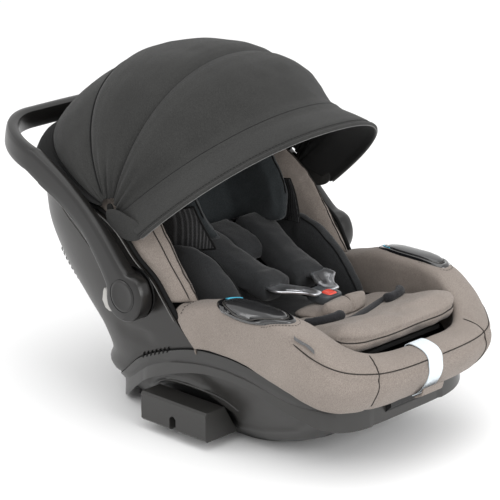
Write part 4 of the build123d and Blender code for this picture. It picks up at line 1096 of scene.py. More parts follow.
def cover_columns():
    ts = even_ts(COVER_N, PI - 0.2226, 2 * PI + 0.2226, 180.0, -355.0, 40.0, 4.2)
    # even_ts measures about the base's centre; the difference is small
    cols = []
    for t in ts:
        pts = section(t)
        p = crom(pts, 64)
        cols.append(p)
    cols = np.array(cols)
    # trim the rear ends along the slanted edge
    for side_ in (0, 1):
        rng = range(0, 24) if side_ == 0 else range(COVER_N - 24, COVER_N)
        for j in rng:
            for k in range(64):
                z = cols[j, k, 2]
                lim = rear_y(z)
                edge = 1 - (j / 23 if side_ == 0 else (COVER_N - 1 - j) / 23)
                cols[j, k, 1] = min(cols[j, k, 1], lim) if cols[j, k, 1] < -57 else lim - (1 - edge) * 3.0
    return ts, cols


def cover_top(x, y):
    q = min(abs((abs(x) - 157.0) / 24.0), 1.0)
    m = 2.7
    return float(top_z(min(y, -66.0))) + 1.2 - 15.0 * (1 - (1 - q**m) ** (1 / m))


def front_cover():
    ts, cols = cover_columns()
    n, k = len(cols), cols.shape[1]
    v, f = grid([list(map(tuple, c)) for c in cols])
    f.append(tuple(range(k)))
    f.append(tuple(range((n - 1) * k, n * k))[::-1])
    o = make("front_cover_padding", v, f, "taupe", sharp=70)

    def puff(mm, nor):
        d = lumps(mm, 4.4, 48.0) * 1.3 + lumps(mm, 8.1, 17.0) * 0.4
        # pulled in along the two curved front seams and the outer top seam
        for s in (-1, 1):
            near = np.exp(-((mm[:, 0] - s * (108 + 0.0 * mm[:, 2])) / 4.0) ** 2) * (mm[:, 1] < -320)
            d -= near * 1.6
        zt = np.interp(mm[:, 1], [p[0] for p in TOP[::-1]], [p[1] for p in TOP[::-1]])
        outer = (np.abs(mm[:, 0]) > 150) | (mm[:, 1] < -335)
        d -= np.exp(-((zt - 13 - mm[:, 2]) / 2.5) ** 2) * outer * (mm[:, 1] < -262) * 1.3
        return nor * d[:, None]
    displace(o, puff)
    shade(o, 70)
    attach(o, "shell")
    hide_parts("front_cover", "front_core")
    # seams
    def outer_line(pairs, m=60, off=0.5):
        """pairs of (x or side-view y, z) given as full points; snapped onto the outer wall."""
        out = []
        for x, y, z in crom(pairs, m):
            t = math.atan2((y - RC), x)
            best, bt = 1e9, t
            for tt in np.linspace(PI - 0.2, 2 * PI + 0.2, 700):
                px, py = outer_pt(tt, z)
                d = (px - x) ** 2 + (py - y) ** 2
                if d < best:
                    best, bt = d, tt
            px, py = outer_pt(bt, z, -off)
            out.append((px, py, z))
        return out
    for s in (-1, 1):
        nm = "right" if s > 0 else "left"
        top_seam = outer_line([(s * 178, -268, 188), (s * 170, -297, 172), (s * 150, -325, 160), (s * 108, -352, 152), (s * 60, -360, 149.5), (s * 2, -362, 149)], 60)
        top_seam = on_surface(o, top_seam, 0.15)
        tube(f"cover_seam_top_{nm}", top_seam, 0.9, "thread", "shell", 6)
        front = outer_line([(s * 108, -352, 151), (s * 111, -360, 138), (s * 112, -355, 118), (s * 108, -345, 102)], 30)
        front = [(s * 97, -328.5, 166.5), (s * 101, -338, 162.5), (s * 105, -347, 158)] + front
        front = on_surface(o, [tuple(q) for q in resample(front, 50)], 0.15)
        tube(f"cover_seam_front_{nm}", front, 0.9, "thread", "shell", 6)
        rear = [(s * 181.6, y, z) for y, z in ((-74, 184), (-80, 168), (-98, 146))]
        stitches(f"cover_stitch_rear_{nm}", [(s * (180.6 - 0.0), -70.5, 182), (s * 176, -73, 191.5), (s * 158, -75, 195.5), (s * 140, -75, 191)], "thread", "shell", 3.0, 2.0, 0.5)
    # pale pull band over the middle of the front rim, and the flap below it
    xs = np.linspace(-21.5, 6.0, 8)
    cc = []
    for x in xs:
        best = min(range(n), key=lambda j: abs(cols[j, 12, 0] - x) + (0 if cols[j, 12, 1] < -300 else 1e3))
        c = cols[best].copy()
        c[:, 0] = x
        c = c[2:46]
        t = np.gradient(c, axis=0)
        nr = np.column_stack([np.zeros(len(c)), t[:, 2], -t[:, 1]])
        nr /= np.maximum(np.linalg.norm(nr, axis=1)[:, None], 1e-9)
        if nr[5][1] > 0:
            nr = -nr
        cc.append(c + nr * 1.1)
    vb, fb = grid([list(map(tuple, c)) for c in cc])
    band = make("front_pull_band", vb, fb, "band", sharp=180)
    sol = band.modifiers.new("thick", "SOLIDIFY")
    sol.thickness, sol.offset = 0.0012, 1
    apply_mods(band)
    shade(band, 60)
    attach(band, "shell")
    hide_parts("front_band")
    for x in (xs[0] + 1.5, xs[-1] - 1.5):
        c = cc[0] if x < 0 else cc[-1]
        stitches(f"band_stitch_{'a' if x < -10 else 'b'}", [(x, p[1] - 0.4, p[2] + 0.4) for p in c[4:38]], "thread_soft", "shell", 2.4, 1.6, 0.3)
    prism("front_flap", [(-367.0, 112), (-364, 101), (-352, 95), (-350, 97), (-361, 103), (-365, 112)], -30, 12, "taupe", "shell", 0.8, 2)
    # side tag, bare
    tag = [(-179.0, -272, 204), (-181.0, -273, 195.5), (-175.5, -306, 187.5), (-173.5, -305, 196)]
    rows = []
    for i in range(9):
        u = i / 8
        rows.append([tuple(np.array(tag[0]) * (1 - u) * (1 - w) + np.array(tag[3]) * u * (1 - w) + np.array(tag[1]) * (1 - u) * w + np.array(tag[2]) * u * w) for w in np.linspace(0, 1, 5)])
        rows[-1] = [tuple(q) for q in on_surface(o, rows[-1], 2.1 + 0.4 * math.sin(PI * u))]
    vt, ft = grid(rows)
    tg = make("side_tag_cloth", vt, ft, "tag", sharp=180)
    sol = tg.modifiers.new("thick", "SOLIDIFY")
    sol.thickness, sol.offset = 0.0011, 1
    apply_mods(tg)
    shade(tg, 60)
    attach(tg, "shell")
    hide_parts("side_tag")


def belt_guides():
    cx, cy, hl, hw = 164.0, -190.0, 63.0, 21.0
    for s in (-1, 1):
        nm = "right" if s > 0 else "left"

        def P(rho, a, off, cx=cx, cy=cy, hl=hl, hw=hw):
            ex = 2 / 2.4
            dx = hw * rho * math.copysign(abs(math.cos(a)) ** ex, math.cos(a))
            dy = hl * rho * math.copysign(abs(math.sin(a)) ** ex, math.sin(a))
            x = cx + dx + 0.055 * (-dy) * 0 - 0.0
            y = cy + dy
            # the front end swings inwards
            x -= max(0.0, -(dy) / hl) ** 1.5 * 7.0
            xw = min(x, 180.4)
            over = max(0.0, x - 180.4)
            z = cover_top(min(xw, 180.4), y) - over * 1.4
            return (s * (xw + min(over, 1.2) + (off if over > 0 else off * 0.3)), y, z + off * (0.75 if over > 0 else 1.0))
        A = np.linspace(0, 2 * PI, 72, endpoint=False)
        rows = [[P(r, a, o_) for a in A] for r, o_ in ((1.0, -2.0), (1.0, 1.0), (0.975, 2.6), (0.93, 3.1), (0.885, 2.6), (0.86, 1.2), (0.80, 0.9), (0.5, 0.8), (0.15, 0.8))]
        v, f = grid(rows, close_c=True, cap1=True)
        make(f"belt_guide_dish_{nm}", v, f, "gloss", "shell", [f"belt_guide_{nm}"], sharp=60)
        rows = [[P(r, a, o_) for a in A] for r, o_ in ((0.80, 0.6), (0.80, 2.6), (0.775, 3.5), (0.70, 4.2), (0.45, 5.0), (0.15, 5.3))]
        v, f = grid(rows, close_c=True, cap1=True)
        make(f"guide_lid_skin_{nm}", v, f, "smoke", "shell", [f"guide_lid_{nm}"], sharp=60)
        # light ring round the lid edge: painted highlight
        tube(f"guide_ring_{nm}", [P(0.83, a, 1.9) for a in A], 0.8, "contour", "shell", 6, closed=True)
        stitches(f"guide_stitch_{nm}", [P(1.09, a, 0.4) for a in np.linspace(-0.9 * PI, -0.1 * PI, 40)], "thread", "shell", 2.6, 1.8, 0.45)
        # coloured mark at the rear end of the dish
        rows = [[(P(0.86, PI / 2 + 0.55 + b, 3.1)[0], P(0.86, PI / 2 + 0.55 + b, 3.1)[1] + dy, P(0.86, PI / 2 + 0.55 + b, 3.1)[2] + dz) for b in np.linspace(-0.36, 0.36, 9)] for dy, dz in ((2.0, -0.4), (1.6, 0.7), (0, 1.1), (-1.6, 0.9), (-2.2, -0.2))]
        v, f = grid(rows)
        mk = make(f"guide_mark_{nm}", v, f, "cyan", sharp=60)
        sol = mk.modifiers.new("thick", "SOLIDIFY")
        sol.thickness, sol.offset = 0.0008, -1
        apply_mods(mk)
        shade(mk, 60)
        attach(mk, "shell")
        if s < 0:
            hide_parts("belt_marks")


# ---------------------------------------------------------------------------
# Inside: wings, cushions, head pad, pads, harness
# ---------------------------------------------------------------------------
def loop_rect(xa, xb, ya, yb, n=44, p=5.0):
    cx, cy, hx, hy = (xa + xb) / 2, (ya + yb) / 2, (xb - xa) / 2, (yb - ya) / 2
    out = []
    for t in np.linspace(0, 2 * PI, n, endpoint=False):
        c, s = math.cos(t), math.sin(t)
        out.append((cx + hx * math.copysign(abs(c) ** (2 / p), c), cy + hy * math.copysign(abs(s) ** (2 / p), s)))
    return resample(out + [out[0]], n, closed=True)


def soft_solid(name, rows, mat, body, node, voxel=5.0, cap=7.0, pressure=4.0, seed=0.0, wrinkle=0.6, sub=1):
    v, f = grid(rows, close_c=True, cap0=True, cap1=True)
    o = make(name, v, f, mat, sharp=180)
    soften(o, voxel, cap, pressure, seed, wrinkle, sub)
    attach(o, body)
    if node:
        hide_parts(*([node] if isinstance(node, str) else node))
    return o


def extruded(poly, x0, x1, n=64, k=7):
    ring_ = resample(list(poly) + [poly[0]], n, closed=True)
    return [[(x, y, z) for y, z in ring_] for x in np.linspace(x0, x1, k)]


WZ = [187, 200, 215, 230, 245, 260, 280, 300, 330, 360, 384]
WING = {
    "xi": (WZ, [148, 149, 150, 151, 152, 152, 153, 151, 142, 128, 116]),
    "yf": (WZ, [-82, -75, -66, -56, -46, -36, -22, -6, 27, 62, 94]),
    "xo": (WZ, [177, 178, 179, 180, 181, 181, 180, 176, 164, 148, 134]),
    "yo": (WZ, [-50, -38, -22, -6, 8, 24, 44, 62, 92, 118, 134]),
    "xd": (WZ, [116, 116, 116, 115, 114, 113, 112, 111, 108, 105, 103]),
    "yd": (WZ, [20, 30, 38, 46, 52, 58, 66, 78, 104, 132, 150]),
    "yb": (WZ, [50, 64, 80, 96, 108, 120, 134, 146, 162, 176, 184]),
}


def wings():
    g = {k: hermite(*v) for k, v in WING.items()}
    for s in (-1, 1):
        nm = "right" if s > 0 else "left"
        rows = []
        for z in np.linspace(188, 384, 34):
            w = {k: f(z) for k, f in g.items()}
            poly = [(w["xi"], w["yf"]), (w["xo"], w["yo"]), (w["xo"] - 2, w["yb"]), (w["xd"] + 12, w["yb"]), (w["xd"], w["yd"])]
            loop = resample(poly + [poly[0]], 76, closed=True)
            for _ in range(2):
                loop = (np.roll(loop, 1, 0) + 2 * loop + np.roll(loop, -1, 0)) / 4
            rows.append([(s * x, y, z) for x, y in loop])
        o = soft_solid(f"wing_pad_{nm}", rows, "taupe", "shell", f"wing_{nm}", voxel=5.0, cap=3.0, seed=11.0 + s, wrinkle=0.6)
        for k in (0, 1):
            pts = []
            for z in np.linspace(194, 376, 60):
                w = {q: f(z) for q, f in g.items()}
                u = 0.06 if k == 0 else 0.34
                pts.append((s * (w["xi"] * (1 - u) + w["xo"] * u), w["yf"] * (1 - u) + w["yo"] * u, z))
            tube(f"wing_seam_{nm}_{k}", on_surface(o, pts, 0.2), 1.0 if k == 0 else 0.8, "thread", "shell", 6)


def on_surface(o, pts, off=0.4):
    """Nearest points on o, lifted by off."""
    from mathutils.bvhtree import BVHTree
    dg = bpy.context.evaluated_depsgraph_get()
    tree = BVHTree.FromObject(o, dg)
    out = []
    for x, y, z in pts:
        hit, nr, _, _ = tree.find_nearest(Vector((x / 1000, (y + YS) / 1000, z / 1000)))
        h = np.array(hit[:]) * 1000 + np.array(nr[:]) * off
        h[1] -= YS
        out.append(tuple(h))
    out = np.array(out)
    for _ in range(2):
        out[1:-1] = (out[:-2] + 2 * out[1:-1] + out[2:]) / 4
    return out


LEG_TOP = [(-326, 184), (-322, 190), (-314, 196), (-302, 197), (-280, 190), (-240, 177), (-200, 168), (-146, 158)]
LEG_LOW = [(-326, 180), (-318, 172), (-311, 168), (-300, 161), (-250, 149), (-200, 141.5), (-150, 128.5), (-146, 127)]


def base_lip():
    """Raised lip that frames the scoop over each adapter."""
    from mathutils.bvhtree import BVHTree
    tree = BVHTree.FromObject(bpy.data.objects["base_shell_skin"], bpy.context.evaluated_depsgraph_get())
    for s in (-1, 1):
        nm = "right" if s > 0 else "left"
        line = [(s * 172, 18, 44), (s * 172, 2, 58), (s * 172, -22, 69), (s * 172, -56, 73), (s * 172, -95, 73), (s * 172, -126, 67), (s * 172, -150, 56)]
        pts = np.array(crom(line, 90))
        xs = np.full(len(pts), np.nan)
        for i, (_, y, z) in enumerate(pts):
            hit = tree.ray_cast(Vector((s * 0.3, (y + YS) / 1000, z / 1000)), Vector((-s, 0, 0)))[0]
            if hit is not None:
                xs[i] = abs(hit[0]) * 1000
        ok = ~np.isnan(xs)
        xs = np.interp(np.arange(len(xs)), np.arange(len(xs))[ok], xs[ok])
        for _ in range(60):
            xs[1:-1] = (xs[:-2] + 2 * xs[1:-1] + xs[2:]) / 4
        pts[:, 0] = s * (xs - 0.6)
        tube(f"base_scoop_lip_{nm}", [tuple(q) for q in pts], 3.2, "base_band", "shell", 12, flat=2.2)


def leg_cushion():
    tz = hermite([p[0] for p in LEG_TOP], [p[1] for p in LEG_TOP])
    lz = hermite([p[0] for p in LEG_LOW], [p[1] for p in LEG_LOW])
    rows = []
    n = 96

    def plan(rho, k, exp=4.2):
        t = 2 * PI * k / n
        return ring_pt(t, 121 * rho, -236 - 89.5 * rho, -236 + 88 * rho, exp, yc=-236.0)
    for rho in (0.08, 0.3, 0.55, 0.75, 0.88, 0.95):
        rows.append([(*plan(rho, k), float(tz(plan(rho, k)[1])) + 6.0 * (abs(plan(rho, k)[0]) / 121) ** 2 - 1.0) for k in range(n)])
    for a in (0.82, 0.5, 0.18):
        row = []
        for k in range(n):
            x, y = plan(1.0, k)
            hi = float(tz(y)) + 6.0 * (abs(x) / 121) ** 2
            row.append((x, y, hi * a + float(lz(y)) * (1 - a)))
        rows.append(row)
    for rho in (0.93, 0.6, 0.1):
        rows.append([(*plan(rho, k), float(lz(plan(rho, k)[1])) + 1.0) for k in range(n)])
    v, f = grid(rows, close_c=True, cap0=True, cap1=True)
    o = make("leg_cushion_pad", v, f, "taupe", sharp=180)
    soften(o, 5.0, 5.0, 4.0, 21.0, 0.8, 1)

    def dent(mm, nor):
        d = -5.0 * np.exp(-(((mm[:, 0] - 2) / 16) ** 2 + ((mm[:, 1] + 287) / 12) ** 2)) * (mm[:, 2] > 180)
        # pulled in along the front seam
        line = 182 + 0.0 * mm[:, 0]
        d -= 2.4 * np.exp(-((mm[:, 2] - line) / 3.0) ** 2) * (mm[:, 1] < -292)
        # soft channels towards the crotch
        d -= 3.0 * np.exp(-(mm[:, 0] / 26) ** 2) * np.clip((mm[:, 1] + 285) / 40, 0, 1) * (nor[:, 2] > 0.3)
        return nor * d[:, None]
    displace(o, dent)
    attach(o, "inner_seat")
    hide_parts("leg_cushion")
    pts = []
    for t in np.linspace(PI + 0.25, 2 * PI - 0.25, 90):
        x, y = ring_pt(t, 121, -325.5, -148, 4.2, yc=-236.0)
        pts.append((x, y, 181.5 if y < -290 else 181.5 - (y + 290) * 0.22))
    tube("leg_cushion_seam", on_surface(o, pts, 0.2), 0.9, "thread", "inner_seat", 6)


def inserts():
    base = [(-145, 126.5), (-100, 118.2), (-42, 115), (-2, 122.2), (27, 137.2), (51, 155.5), (38, 171), (10, 151), (-20, 141), (-60, 139), (-100, 141), (-145, 148)]
    soft_solid("insert_base_pad", extruded(base, -94, 94), "ink", "inner_seat", "insert_base", 6.0, 3.5, seed=31)
    back = [(54, 158), (76, 178.5), (96, 207), (98, 210.5), (66, 223.5), (54, 196), (40.5, 174)]
    soft_solid("insert_back_pad", extruded(back, -94, 94), "ink", "inner_seat", "insert_back", 6.0, 3.0, seed=33)
    bol = [(95, 214), (84, 225), (54, 233), (20, 245), (-21, 253), (-60, 242), (-98, 216), (-125, 185), (-142, 160),
           (-143, 128), (-100, 119), (-42, 115.6), (-2, 122.8), (26, 137.6), (52, 157.2), (73, 178.5)]
    for s in (-1, 1):
        nm = "right" if s > 0 else "left"
        rows = []
        for q in np.linspace(-1, 1, 9):
            k = 1 - 0.16 * abs(q) ** 3
            c = np.array([-30.0, 180.0])
            ring_ = resample(bol + [bol[0]], 80, closed=True)
            rows.append([(s * (110.5 + 12.5 * q), *(c + (np.array(p) - c) * (0.985 * k if k < 1 else 0.985))) for p in ring_])
        o = soft_solid(f"insert_bolster_pad_{nm}", rows, "ink", "inner_seat", f"insert_bolster_{nm}", 5.5, 4.0, seed=35 + s)
        edge = [(s * 98.5, y, z) for y, z in crom([(84, 224), (54, 232), (20, 244), (-21, 252), (-60, 241), (-98, 215), (-125, 184), (-141, 160)], 60)]
        tube(f"insert_piping_{nm}", on_surface(o, edge, 0.5), 1.3, "piping", "inner_seat", 6)
    rolls = []
    for s in (-1, 1):
        pts = crom([(s * 41, -236, 187), (s * 60, -238, 187.5), (s * 82, -232, 187), (s * 99, -215, 184)], 30)
        v, f = tube_geo(pts, [8.3 * (0.82 + 0.18 * math.sin(PI * min(1, (i + 2) / 10))) * (0.72 if i in (0, 29) else 1.0) for i in range(30)], sides=20)
        rolls.append((v, f))
    V = rolls[0][0] + rolls[1][0]
    F = list(rolls[0][1]) + [tuple(i + len(rolls[0][0]) for i in q) for q in rolls[1][1]]
    o = make("insert_roll_pads", V, F, "roll", sharp=180)
    soften(o, 3.5, 2.0, 4.0, 41.0, 0.8, 1)
    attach(o, "inner_seat")
    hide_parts("insert_rolls")


def back_pt(x, q, d):
    return (x, 117 + d * 0.368 + q * 0.930, 250 + d * 0.930 - q * 0.368)


def head_pad():
    sec = [(-97, -7), (-50, -7), (0, -7), (50, -7), (97, -7), (99, -40), (99, -80), (96, -108), (87, -117), (77, -109), (71, -70), (60, -50),
           (32, -42), (0, -40), (-32, -42), (-60, -50), (-71, -70), (-77, -109), (-87, -117), (-96, -108), (-99, -80), (-99, -40)]
    base_ring = crom(sec, 110, closed=True)
    lim_z, lim_y = [212, 224, 240, 262, 300, 345, 420], [40, -6, -42, -34, -17, 10, 96]
    rows = []
    for d in np.linspace(-52, 119, 28):
        tip = float(np.interp(d, [-65, 0, 40, 80, 119], [-147, -143, -132, -121, -117]))
        narrow = float(np.interp(d, [-65, -20, 20], [0.87, 0.95, 1.0]))
        rear = float(np.interp(d, [-65, -29], [-52, -7]))
        k = 1 - 0.10 * max(0.0, (d - 90) / 30) ** 2 - 0.05 * max(0.0, (-10 - d) / 20) ** 2
        row = []
        for x, q in base_ring:
            if q < -40:
                q = -40 + (q + 40) * (tip + 40) / -77.0
            q = min(q, rear)
            p = np.array(back_pt(x * k * (narrow if abs(x) > 60 else 1.0), q, d))
            y = max(p[1], float(np.interp(p[2], lim_z, lim_y)) + 1.0)
            row.append((p[0], y, p[2]))
        rows.append(row)
    o = soft_solid("head_pad_cushion", rows, "slate", "headrest", "head_pad", 5.5, 4.5, seed=51, wrinkle=0.9)
    for s in (-1, 1):
        pts = []
        for d in np.linspace(-20, 96, 40):
            tip = float(np.interp(d, [-65, 0, 40, 80, 119], [-147, -143, -132, -121, -117]))
            p = np.array(back_pt(s * 88 * float(np.interp(d, [-65, -20, 20], [0.87, 0.95, 1.0])), tip, d))
            p[1] = max(p[1], float(np.interp(p[2], lim_z, lim_y)) + 1.0) - 3
            pts.append(tuple(p))
        tube(f"head_pad_piping_{'r' if s > 0 else 'l'}", on_surface(o, pts, 0.4), 1.2, "piping", "headrest", 6)


def mesh_panels():
    V, F = [], []
    for s in (-1, 1):
        front = crom([(97, -13, 301), (96, -22, 286), (91, -34, 264), (85, -43, 245)], 26)
        back = crom([(107, 46, 286), (107.5, 36, 268), (107, 24, 250), (106, 14, 235)], 26)
        rows = []
        for u in np.linspace(0, 1, 30):
            bow = 3.0 * math.sin(PI * u)
            rows.append([(s * (a[0] * (1 - u) + b[0] * u + bow), a[1] * (1 - u) + b[1] * u, a[2] * (1 - u) + b[2] * u) for a, b in zip(front, back)])
        outer = np.array(rows)
        inner = outer.copy()
        inner[:, :, 0] -= s * 2.2
        n, m = outer.shape[:2]
        v = [tuple(p) for p in outer.reshape(-1, 3)] + [tuple(p) for p in inner.reshape(-1, 3)]
        f = grid_faces(n, m) + [tuple(i + n * m for i in reversed(q)) for q in grid_faces(n, m)]
        edge = [j for j in range(m)] + [i * m + m - 1 for i in range(1, n)] + [(n - 1) * m + j for j in range(m - 2, -1, -1)] + [i * m for i in range(n - 2, 0, -1)]
        f += [(edge[(q + 1) % len(edge)], edge[q], edge[q] + n * m, edge[(q + 1) % len(edge)] + n * m) for q in range(len(edge))]
        b = len(V)
        V += v
        F += [tuple(i + b for i in q) for q in f]
        loop = [tuple(outer[i, 0]) for i in range(n)] + [tuple(outer[n - 1, j]) for j in range(1, m)] + [tuple(outer[i, m - 1]) for i in range(n - 2, -1, -1)] + [tuple(outer[0, j]) for j in range(m - 2, 0, -1)]
        tube(f"mesh_binding_{'r' if s > 0 else 'l'}", loop, 1.5, "piping", "inner_seat", 6, closed=True)
    o = make("mesh_side_panels", V, F, "mesh", sharp=70)
    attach(o, "inner_seat")
    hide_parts("mesh_panels")
    neck = [(42, 248), (12, 243), (-16, 236), (-31, 224), (-33, 207), (-10, 197), (42, 206)]
    soft_solid("insert_neck_pad", extruded(neck, -25, 25, 60, 9), "ink", "inner_seat", None, 4.5, 3.0, seed=57, wrinkle=0.7)


def shoulder_pads():
    for s in (-1, 1):
        nm = "right" if s > 0 else "left"
        cen = crom([(s * 54, 28, 241), (s * 52, 4, 233), (s * 48, -26, 217), (s * 42, -58, 204), (s * 37, -88, 195), (s * 34, -112, 190)], 40)
        tan = np.gradient(cen, axis=0)
        tan /= np.linalg.norm(tan, axis=1)[:, None]
        rows = []
        for i, (p, t) in enumerate(zip(cen, tan)):
            u = i / 39
            side_ = np.array([1.0, 0, 0])
            side_ -= t * (side_ @ t)
            side_ /= np.linalg.norm(side_)
            up = np.cross(t, side_)
            if up[2] < 0:
                up = -up
            bunch = 1 + 0.03 * math.sin(u * 17.0 + s) + 0.02 * math.sin(u * 31.0)
            hw = (30.5 + 1.2 * math.sin(u * 9 + s)) * (0.88 + 0.12 * math.sin(PI * min(max(u, 0.04), 0.96)) ** 0.4)
            ht = 16.5 * bunch * (0.8 + 0.2 * math.sin(PI * min(max(u, 0.04), 0.96)) ** 0.5)
            if u > 0.84:
                ht *= 1.12
            row = []
            for a in np.linspace(0, 2 * PI, 36, endpoint=False):
                c, q = math.cos(a), math.sin(a)
                row.append(tuple(p + side_ * hw * math.copysign(abs(c) ** 0.5, c) + up * ht * math.copysign(abs(q) ** 0.7, q)))
            rows.append(row)
        o = soft_solid(f"shoulder_pad_roll_{nm}", rows, "ink", "inner_seat", f"shoulder_pad_{nm}", 4.5, 3.0, seed=61 + s, wrinkle=0.9)
        # webbing: from behind the pad to the slot in the backrest, and from its end to the tongue
        strap(f"harness_web_top_{nm}", [(s * 45, 30, 247), (s * 42, 46, 241), (s * 40, 58, 230), (s * 40, 64, 224)], 25, "inner_seat")
        strap(f"harness_web_low_{nm}", [(s * 33, -104, 192), (s * 36, -116, 195), (s * 38, -126, 196)], 24, "inner_seat", tilt=0.0)


def strap(name, pts, width, body, tilt=0.0, mat="webbing"):
    c = crom(pts, 24)
    t = np.gradient(c, axis=0)
    t /= np.linalg.norm(t, axis=1)[:, None]
    rows = []
    for p, d in zip(c, t):
        side_ = np.array([1.0, tilt, 0])
        side_ -= d * (side_ @ d)
        side_ /= np.linalg.norm(side_)
        up = np.cross(d, side_)
        ring_ = []
        for a, b in [(-1, 0), (-0.96, 0.7), (-0.5, 0.8), (0, 0.75), (0.5, 0.8), (0.96, 0.7), (1, 0), (0.96, -0.7), (0.5, -0.8), (0, -0.75), (-0.5, -0.8), (-0.96, -0.7)]:
            ring_.append(tuple(p + side_ * a * width / 2 + up * b))
        rows.append(ring_)
    v, f = grid(rows, close_c=True, cap0=True, cap1=True)
    return make(name, v, f, mat, body, sharp=60)


def crotch_and_buckle():
    # pad with a raised front roll and a split down its middle
    n = 72
    tz = hermite([-217, -213, -205, -196, -189, -170, -150, -139, -134], [178, 189, 197, 189, 178.5, 175, 171.5, 166, 163])
    lz = hermite([-217, -200, -150, -134], [173, 169.5, 161.5, 160.5])
    rows = []

    def plan(rho, k):
        return ring_pt(2 * PI * k / n, 47 * rho, -176 - 41 * rho, -176 + 41 * rho, 3.2, yc=-176.0)
    for rho in (0.1, 0.35, 0.6, 0.8, 0.93):
        rows.append([(*plan(rho, k), float(tz(plan(rho, k)[1])) - 2.0 * rho**4) for k in range(n)])
    rows.append([(*plan(1.0, k), 0.5 * (float(tz(plan(1.0, k)[1])) + float(lz(plan(1.0, k)[1])))) for k in range(n)])
    for rho in (0.93, 0.5, 0.1):
        rows.append([(*plan(rho, k), float(lz(plan(rho, k)[1]))) for k in range(n)])
    v, f = grid(rows, close_c=True, cap0=True, cap1=True)
    o = make("crotch_pad_cushion", v, f, "taupe", sharp=180)
    soften(o, 3.5, 3.0, 4.0, 71.0, 0.6, 1)

    def split(mm, nor):
        d = -3.2 * np.exp(-((mm[:, 0] - 4) / 2.2) ** 2) * (mm[:, 1] < -188) * (nor[:, 2] > -0.2)
        return nor * d[:, None]
    displace(o, split)
    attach(o, "inner_seat")
    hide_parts("crotch_pad")
    pts = [(4, y, float(tz(y)) - 1.0) for y in np.linspace(-212, -190, 24)]
    tube("crotch_pad_split", on_surface(o, pts, 0.1), 0.8, "thread", "inner_seat", 6)
    strap("crotch_web", [(0, -169, 137), (0, -169, 150), (0, -169, 163)], 28, "inner_seat").name = "crotch_web"
    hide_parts("crotch_strap")
    # buckle body
    prof = [(0.80, 179.2), (0.95, 180.2), (1.0, 183.0), (1.0, 188.5), (0.97, 191.2), (0.88, 192.8), (0.78, 193.0)]
    rows = []
    for k, z in prof:
        loop = loop_rect(-19 * k, 19 * k, -166 - 21 * k, -166 + 21 * k, 56, 4.2)
        rows.append([(x, y, z + 0.05 * (y + 166)) for x, y in loop])
    lip = loop_rect(-9.2, 9.2, -184.6, -165.6, 56, 6.0)
    rows.append([(x, y, 193.2 + 0.05 * (y + 166)) for x, y in loop_rect(-10.4, 10.4, -186, -164.4, 56, 5.0)])
    rows.append([(x, y, 192.0 + 0.05 * (y + 166)) for x, y in lip])
    rows.append([(x, y, 186.0) for x, y in lip])
    v, f = grid(rows, close_c=True, cap0=True, cap1=True)
    make("buckle_body", v, f, "buckle", "inner_seat", ["buckle_housing"], sharp=32)
    rows = []
    for k, z in ((1.0, 186.5), (1.0, 192.2), (0.95, 193.6), (0.84, 194.3), (0.5, 193.9), (0.1, 193.7)):
        rows.append([(x, y, z + 0.05 * (y + 166)) for x, y in loop_rect(-8.2 * k, 8.2 * k, -175 - 8.8 * k, -175 + 8.8 * k, 48, 5.0)])
    v, f = grid(rows, close_c=True, cap0=True, cap1=True)
    make("buckle_release", v, f, "red", "buckle_button", ["buckle_button"], sharp=40)
    # rolled strap that lies across the leg cushion in front of the buckle
    tube("crotch_strap_roll", crom([(-55.7, -239.7, 177.5), (-31.1, -242.8, 177.5), (6.1, -235.4, 177.5), (47.3, -225.2, 177.5), (81.1, -218.3, 177.5), (108.0, -215.6, 177.5)], 60), 6.8, "roll", "inner_seat", 16, flat=4.8)
    # tongues: stepped plates running down into the buckle
    plan_t = [(-59, -111), (-38, -104), (-26, -119), (-16, -134), (-8, -150), (-8, -168), (-23, -172), (-30, -159), (-44, -145), (-60, -132)]
    for s in (-1, 1):
        nm = "right" if s > 0 else "left"
        loop = crom(plan_t, 72, closed=True)
        c = loop.mean(axis=0)

        def zz(x, y):
            return 193.5 + 0.06 * (y + 150) + 0.05 * (-x - 12)
        rows = []
        for k, dz in ((0.2, -1.6), (0.96, -1.6), (1.0, -0.6), (1.0, 0.8), (0.96, 1.6), (0.80, 1.7), (0.76, 1.3), (0.45, 1.3), (0.42, 1.7), (0.1, 1.8)):
            rows.append([(-s * p[0] if s > 0 else p[0], p[1], zz(p[0], p[1]) + dz) for p in (c + (loop - c) * k)])
        v, f = grid(rows, close_c=True, cap0=True, cap1=True)
        make(f"tongue_plate_{nm}", v, f, "tongue", "inner_seat", [f"tongue_{nm}"], sharp=30)


# ---------------------------------------------------------------------------
# Finish for the CAD parts that stay in view
# ---------------------------------------------------------------------------
KEEP = {
    "adapter_left": "base", "adapter_right": "base", "base_screws": "steel", "docking_bars": "steel",
    "seat_tub": "dark", "detent_rings": "dark", "pivot_pins": "steel", "recline_ribs": "dark", "back_foam": "foam",
    "recline_handle": "dark", "seat_carriage": "dark", "headrest_shell": "dark", "harness_adjuster": "dark",
    "adjuster_button": "buckle", "harness_straps": "webbing",
}

base_shell()
base_lip()
seat_shell()
shell_details()
handle()
canopy()
front_cover()
belt_guides()
wings()
leg_cushion()
inserts()
head_pad()
mesh_panels()
shoulder_pads()
crotch_and_buckle()
for name, mat in KEEP.items():
    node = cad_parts[name]
    node.data.materials.clear()
    node.data.materials.append(M[mat])

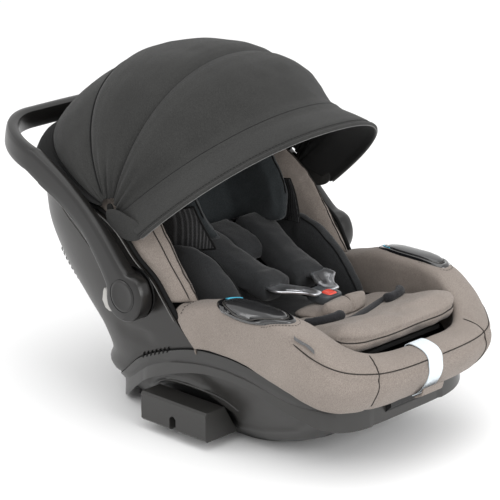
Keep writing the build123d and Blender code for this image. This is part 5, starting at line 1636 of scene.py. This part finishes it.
# ---------------------------------------------------------------------------
# Floor and light
# ---------------------------------------------------------------------------
fm, fnt, fb, ftc = new_mat("studio_floor")
fn = noise_tex(fnt, ftc, 3.0, 2.0, 0.5)
fr = ramp(fnt, fn.outputs["Fac"], [(0.3, (0.93, 0.93, 0.93)), (0.7, (0.95, 0.95, 0.95))])
fnt.links.new(fr.outputs["Color"], fb.inputs["Base Color"])
fb.inputs["Roughness"].default_value = 0.9
fb.inputs["Specular IOR Level"].default_value = 0.1
rows = [[(x, y, 0.0) for y in np.linspace(-30000, 30000, 9)] for x in np.linspace(-30000, 30000, 9)]
v, f = grid(rows)
me = bpy.data.meshes.new("floor")
me.from_pydata([(p[0] / 1000, p[1] / 1000, -0.0005) for p in v], [], f)
me.materials.append(fm)
floor = bpy.data.objects.new("floor", me)
bpy.context.scene.collection.objects.link(floor)

world = bpy.data.worlds.new("studio")
bpy.context.scene.world = world
world.use_nodes = True
bg = world.node_tree.nodes["Background"]
bg.inputs["Color"].default_value = (1.0, 1.0, 1.0, 1.0)
bg.inputs["Strength"].default_value = 1.0


def area(name, loc, target, size, power, size_y=None):
    l = bpy.data.lights.new(name, "AREA")
    l.energy, l.shape, l.size, l.size_y = power, "RECTANGLE", size, size_y or size
    o = bpy.data.objects.new(name, l)
    bpy.context.scene.collection.objects.link(o)
    o.location = loc
    o.rotation_mode = "QUATERNION"
    o.rotation_quaternion = (Vector(target) - Vector(loc)).to_track_quat("-Z", "Y")
    return o


area("key", (-1.2, -1.0, 2.8), (0, 0, 0.25), 2.2, 22.0)
area("side", (-2.4, 1.6, 1.3), (0, 0.1, 0.25), 0.9, 9.0)
area("top", (0.4, 0.2, 2.8), (0, 0, 0.2), 2.0, 14.0)
area("front", (-0.3, -2.9, 1.25), (0, 0, 0.25), 1.4, 30.0)
sc = bpy.context.scene
sc.view_settings.view_transform = "Standard"
sc.view_settings.look = "None"
sc.view_settings.exposure = 0.0
sc.view_settings.gamma = 1.0

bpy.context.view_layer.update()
